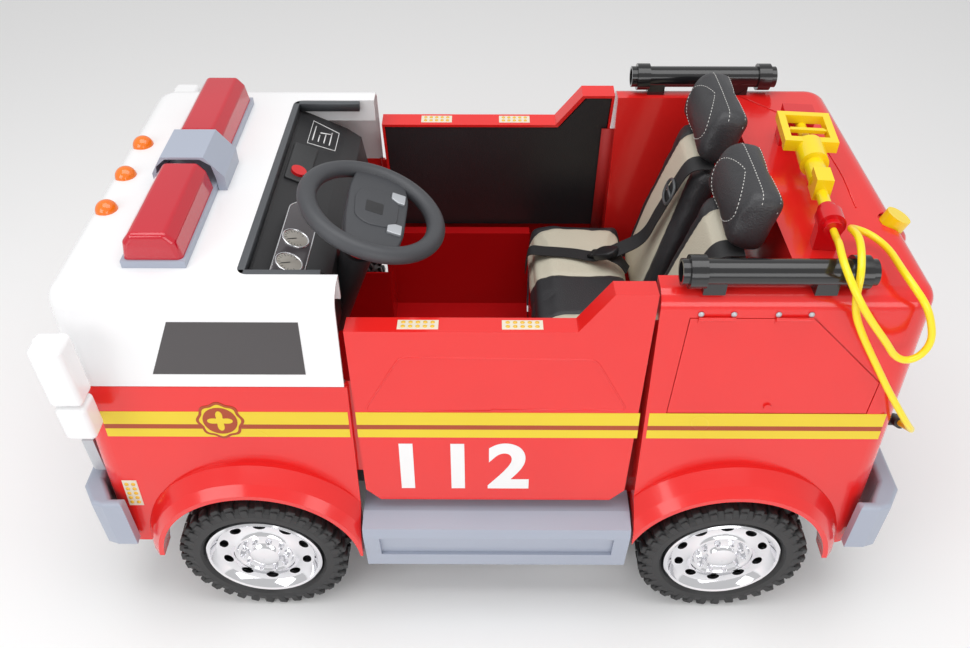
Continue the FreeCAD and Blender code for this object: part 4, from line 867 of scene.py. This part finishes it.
pad = finish_mesh("steering_pad", slab(spread, -0.014, 0.0045, 0.004, WHEEL), wheel_grey, "steering")
pad.data.set_sharp_from_angle(angle=math.radians(35))
crest = rounded([(-0.026, -0.030), (-0.006, -0.043), (0.030, -0.036), (0.037, -0.020), (0.037, 0.024),
                 (0.018, 0.046), (-0.020, 0.044), (-0.030, 0.020)], 0.010)
finish_mesh("steering_crest", slab(crest, 0.0040, 0.0064, 0.0016, WHEEL), wheel_grey, "steering")
square = rounded([(-0.012, -0.013), (0.014, -0.013), (0.014, 0.013), (-0.012, 0.013)], 0.002)
finish_mesh("steering_badge_blank", slab(square, 0.0060, 0.0070, 0.0004, WHEEL), black, "steering")
bm = bmesh.new()
bmesh.ops.create_cone(bm, cap_ends=True, segments=40, radius1=0.021, radius2=0.028, depth=0.030,
                      matrix=WHEEL @ Matrix.Translation((0, 0, -0.029)))
finish_mesh("steering_boss", bm, wheel_grey, "steering")
for tag, y, node in (("horn", -0.038, "horn_button"), ("music", 0.038, "music_button")):
    side = 1 if y > 0 else -1
    key = rounded([(0.0235, y + 0.011 * side), (0.0235, y - 0.004 * side), (0.034, y - 0.011 * side),
                   (0.0445, y - 0.011 * side), (0.0445, y + 0.011 * side)], 0.002)
    piece = finish_mesh(f"{tag}_key", slab(key, 0.0030, 0.0086, 0.0010, WHEEL), silver, node)
    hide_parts(node)
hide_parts("steering_wheel")


# ---------------------------------------------------------------- Dashboard fittings
# A grey bezel round the well, a raised switch plate, a printed outline plate and a clear instrument
# plate with two plated dials. The dials carry ticks only.
DASH = Matrix.Translation((-0.3395, 0.0, 0.616)) @ Matrix.Rotation(math.atan2(36, 76), 4, "Y")


def traced(place, outline, height):
    """An (x, y) outline set at a height in a frame."""
    return [place @ Vector((x, y, height)) for x, y in outline]


bezel_grey = moulded("bezel_grey", (0.085, 0.092, 0.100), (0.070, 0.076, 0.084), 0.3, 0.42, grain=0.5)
plate_grey = moulded("switch_plate", (0.040, 0.041, 0.043), (0.032, 0.033, 0.035), 0.32, 0.44, grain=0.6)
smoked = moulded("instrument_plate", (0.085, 0.075, 0.082), (0.065, 0.058, 0.064), 0.10, 0.16, coat=0.5)
dial_face = moulded("dial_face", (0.46, 0.43, 0.38), (0.30, 0.28, 0.25), 0.2, 0.3, coat=0.5)
for index, (a, b) in enumerate((((-0.3470, -0.2425), (-0.3470, 0.2425)), ((-0.3470, 0.2425), (-0.240, 0.2425)),
                                ((-0.3470, -0.2425), (-0.240, -0.2425)))):
    along = Vector((*b, 0)) - Vector((*a, 0))
    turn = math.atan2(along.y, along.x)
    place = Matrix.Translation((*a, 0.6325)) @ Matrix.Rotation(turn, 4, "Z")
    strip = slab([(-0.004, -0.0055), (along.length + 0.004, -0.0055), (along.length + 0.004, 0.0055),
                  (-0.004, 0.0055)], -0.012, 0.0030, 0.0012, place)
    finish_mesh(f"bezel_{index}", strip, bezel_grey, "root")
switch = rounded([(0.003, 0.028), (0.042, 0.028), (0.044, 0.140), (0.003, 0.136)], 0.004)
finish_mesh("switch_plate", slab(switch, -0.001, 0.0042, 0.0016, DASH), plate_grey, "root")
label = [(0.023, 0.152), (0.072, 0.160), (0.072, 0.220), (0.023, 0.228)]
bead("print_outline", traced(DASH, label, 0.0004), 0.0008, vinyl_white, "root", closed=True)
for index, (x0, y0, x1, y1) in enumerate(((0.030, 0.166, 0.030, 0.214), (0.040, 0.168, 0.040, 0.190),
                                           (0.050, 0.170, 0.050, 0.200), (0.060, 0.170, 0.060, 0.212),
                                           (0.040, 0.198, 0.058, 0.206))):
    line = traced(DASH, [(x0, y0), (x1, y1)], 0.0003)
    bead(f"print_line_{index}", line, 0.0011, vinyl_white, "root")
gauges = rounded([(0.023, -0.240), (0.070, -0.240), (0.071, -0.050), (0.060, -0.034), (0.040, -0.034),
                  (0.024, -0.058)], 0.006)
GAUGE_TOP = 0.0160
finish_mesh("instrument_plate", slab(gauges, -0.001, GAUGE_TOP, 0.0010, DASH), smoked, "root")
bead("instrument_rim", traced(DASH, gauges, 0.0158), 0.0011, chrome, "root", closed=True)
for tag, y in (("speed", -0.133), ("charge", -0.191)):
    spot = DASH @ Matrix.Translation((0.0455, y, GAUGE_TOP))
    circle = [(0.0195 * math.cos(a), 0.0195 * math.sin(a)) for a in (math.tau * i / 56 for i in range(56))]
    finish_mesh(f"dial_{tag}", slab(circle, -0.001, 0.0010, 0.0003, spot), dial_face, "root")
    bead(f"dial_ring_{tag}", traced(spot, circle, 0.0008), 0.0015, chrome, "root", closed=True)
    marks = bmesh.new()
    for index in range(15):
        angle = math.radians(-130 + index * 260 / 14)
        size = 0.0045 if index % 2 == 0 else 0.0025
        at = spot @ Matrix.Rotation(angle, 4, "Z") @ Matrix.Translation((-0.0150, 0, 0.0011))
        bmesh.ops.create_cube(marks, size=1.0, matrix=at @ Matrix.Diagonal((size, 0.0007, 0.0004, 1)))
    hand = spot @ Matrix.Rotation(math.radians(35), 4, "Z") @ Matrix.Translation((-0.006, 0, 0.0014))
    bmesh.ops.create_cube(marks, size=1.0, matrix=hand @ Matrix.Diagonal((0.015, 0.0012, 0.0005, 1)))
    finish_mesh(f"dial_marks_{tag}", marks, black, "root", smooth=False)


# ---------------------------------------------------------------- Belts
# Black woven webbing modelled directly: two shoulder straps down the backs, a lap strap over each
# seat, grey slide adjusters and a side-release buckle.
webbing = moulded("belt_webbing_black", (0.012, 0.012, 0.013), (0.026, 0.026, 0.028), 0.55, 0.7, wave=0.0005,
                  grain=2.0, grain_scale=1400.0)
clip_grey = moulded("buckle_grey", (0.10, 0.105, 0.11), (0.08, 0.085, 0.09), 0.3, 0.42, grain=0.4)


def strap(name, route, width, across, thick=0.0016, replaced=None):
    """A flat band along a route; across gives the width direction at each point, or one for all."""
    route = [Vector(p) for p in route]
    bm = bmesh.new()
    rows = []
    for index, spot in enumerate(route):
        ahead = (route[min(index + 1, len(route) - 1)] - route[max(index - 1, 0)]).normalized()
        wide = Vector(across[index] if isinstance(across, list) else across)
        wide = (wide - ahead * wide.dot(ahead)).normalized()
        lift = ahead.cross(wide).normalized() * thick / 2
        wide = wide * width / 2
        rows.append([bm.verts.new(spot + wide * a + lift * b)
                     for a, b in ((-1, -1), (1, -1), (1, 1), (-1, 1))])
    for first, second in zip(rows, rows[1:]):
        for k in range(4):
            bm.faces.new([first[k], first[(k + 1) % 4], second[(k + 1) % 4], second[k]])
    bm.faces.new(rows[0])
    bm.faces.new(rows[-1][::-1])
    piece = finish_mesh(name, bm, webbing, "root")
    piece.data.set_sharp_from_angle(angle=math.radians(40))
    if replaced:
        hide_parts(replaced)
    return piece


def smooth_route(points, steps=8):
    """A Catmull-Rom curve through the points."""
    points = [Vector(p) for p in points]
    ends = [points[0] * 2 - points[1]] + points + [points[-1] * 2 - points[-2]]
    out = []
    for a, b, c, d in zip(ends, ends[1:], ends[2:], ends[3:]):
        for step in range(steps):
            t = step / steps
            out.append(0.5 * ((2 * b) + (c - a) * t + (2 * a - 5 * b + 4 * c - d) * t ** 2
                              + (3 * b - a - 3 * c + d) * t ** 3))
    return out + [points[-1]]


def on_back(x, y, z):
    return LEAN_BACK @ Vector((x, y, z))


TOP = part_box("seat_cushion")[1].z
LOOPS = {"passenger": 1, "driver": -1}
for tag, side in LOOPS.items():
    y = 0.114 * side
    shoulder = [on_back(0.030, y - 0.070, 0.298), on_back(-0.004, y - 0.070, 0.285),
                on_back(-0.012, y - 0.062, 0.240), on_back(-0.016, y - 0.050, 0.170),
                on_back(-0.022, y - 0.040, 0.110),
                (0.215, y - 0.034, TOP + 0.030)]
    strap(f"shoulder_strap_{tag}", smooth_route(shoulder), 0.030, (0.0, 1.0, 0.25))
    lap = [(0.066, y + 0.006, TOP - 0.040), (0.070, y + 0.006, TOP + 0.002), (0.100, y + 0.004, TOP + 0.0045),
           (0.150, y - 0.004, TOP + 0.006), (0.185, y - 0.018, TOP + 0.010), (0.205, y - 0.030, TOP + 0.024)]
    strap(f"lap_strap_{tag}", smooth_route(lap), 0.028, (0.15, 1.0, 0.0), replaced="belt_webbing")
    tail = [(0.212, y - 0.034, TOP + 0.026), (0.232, y - 0.044, TOP + 0.020), (0.247, y - 0.050, TOP + 0.003)]
    strap(f"anchor_strap_{tag}", smooth_route(tail), 0.024, (0.2, 1.0, 0.2))
    frame_spot = LEAN_BACK @ Matrix.Translation((-0.017, y - 0.060, 0.224)) @ Matrix.Rotation(
        math.radians(-86), 4, "Y")
    outer = faired([(-0.021, -0.021), (0.021, -0.021), (0.021, 0.021), (-0.021, 0.021)], 2)
    loop = traced(frame_spot, [(px * 0.92, py) for px, py in outer], 0.0)
    bead(f"adjuster_{tag}", loop, 0.0026, clip_grey, "root", closed=True)
    cross = traced(frame_spot, [(0, -0.018), (0, 0.018)], 0.0)
    bead(f"adjuster_bar_{tag}", cross, 0.0024, clip_grey, "root")
    turn = Matrix.Rotation(math.radians(-38), 4, "Z") @ Matrix.Rotation(math.radians(-28), 4, "Y")
    buckle = Matrix.Translation((0.206, y - 0.031, TOP + 0.028)) @ turn
    body = faired([(-0.022, -0.017), (0.006, -0.019), (0.026, -0.013), (0.026, 0.013), (0.006, 0.019),
                   (-0.022, 0.017)], 2)
    tongue = [(-0.034, -0.011), (-0.018, -0.011), (-0.018, 0.011), (-0.034, 0.011)]
    for name, outline, half, bevel in (("buckle", body, 0.006, 0.003),
                                       ("buckle_tongue", tongue, 0.0035, 0.0015)):
        finish_mesh(f"{name}_{tag}", slab(outline, -half, half, bevel, buckle), black)


# ---------------------------------------------------------------- Headrest stitching
# White double-thread seams: short raised stitches round the face of each headrest and down its
# side band.
thread = moulded("white_thread", (0.78, 0.77, 0.74), (0.66, 0.65, 0.62), 0.5, 0.6, wave=0.0003)


def stitches(name, route, length=0.0042, gap=0.0022, radius=0.0006):
    """A row of short threads along a route."""
    route = [Vector(p) for p in route]
    spans = [0.0]
    for a, b in zip(route, route[1:]):
        spans.append(spans[-1] + (b - a).length)

    def at(distance):
        for index in range(len(route) - 1):
            if distance <= spans[index + 1]:
                share = (distance - spans[index]) / max(spans[index + 1] - spans[index], 1e-9)
                return route[index].lerp(route[index + 1], share)
        return route[-1]
    bm, place = bmesh.new(), 0.0
    while place + length < spans[-1]:
        a, b = at(place), at(place + length)
        turn = (b - a).to_track_quat("Z", "Y").to_matrix().to_4x4()
        shape = turn @ Matrix.Diagonal((1, 1, length / 2 / radius, 1))
        bmesh.ops.create_uvsphere(bm, u_segments=6, v_segments=5, radius=radius,
                                  matrix=Matrix.Translation((a + b) / 2) @ shape)
        place += length + gap
    return finish_mesh(name, bm, thread, "root")


def touched(piece, origin, way):
    """Where a ray meets a finished piece, a hair above its skin."""
    hit, spot, normal, _ = piece.ray_cast(Vector(origin), Vector(way).normalized())
    return spot + normal * 0.0002 if hit else None


bpy.context.view_layer.update()
for tag, side in (("driver", -1), ("passenger", 1)):
    piece = bpy.data.objects[f"headrest_{tag}"]
    into = LEAN_BACK.to_3x3() @ Vector((1, 0, 0))
    ring = []
    for index in range(72):
        angle = math.tau * index / 72
        y = 0.114 * side + 0.066 * math.sin(angle)
        z = 0.345 + 0.037 * math.cos(angle) * (1 - 0.10 * abs(math.sin(angle)))
        spot = touched(piece, LEAN_BACK @ Vector((-0.08, y, z)), into)
        if spot:
            ring.append(spot)
    stitches(f"headrest_face_stitch_{tag}", ring + ring[:1])
    down = LEAN_BACK.to_3x3() @ Vector((0, 0, -1))
    for label, depth in (("a", 0.020), ("b", 0.046)):
        band = []
        for index in range(30):
            y = 0.114 * side - 0.078 + 0.156 * index / 29
            spot = touched(piece, LEAN_BACK @ Vector((depth, y, 0.45)), down)
            if spot:
                band.append(spot)
        stitches(f"headrest_band_stitch_{label}_{tag}", band)
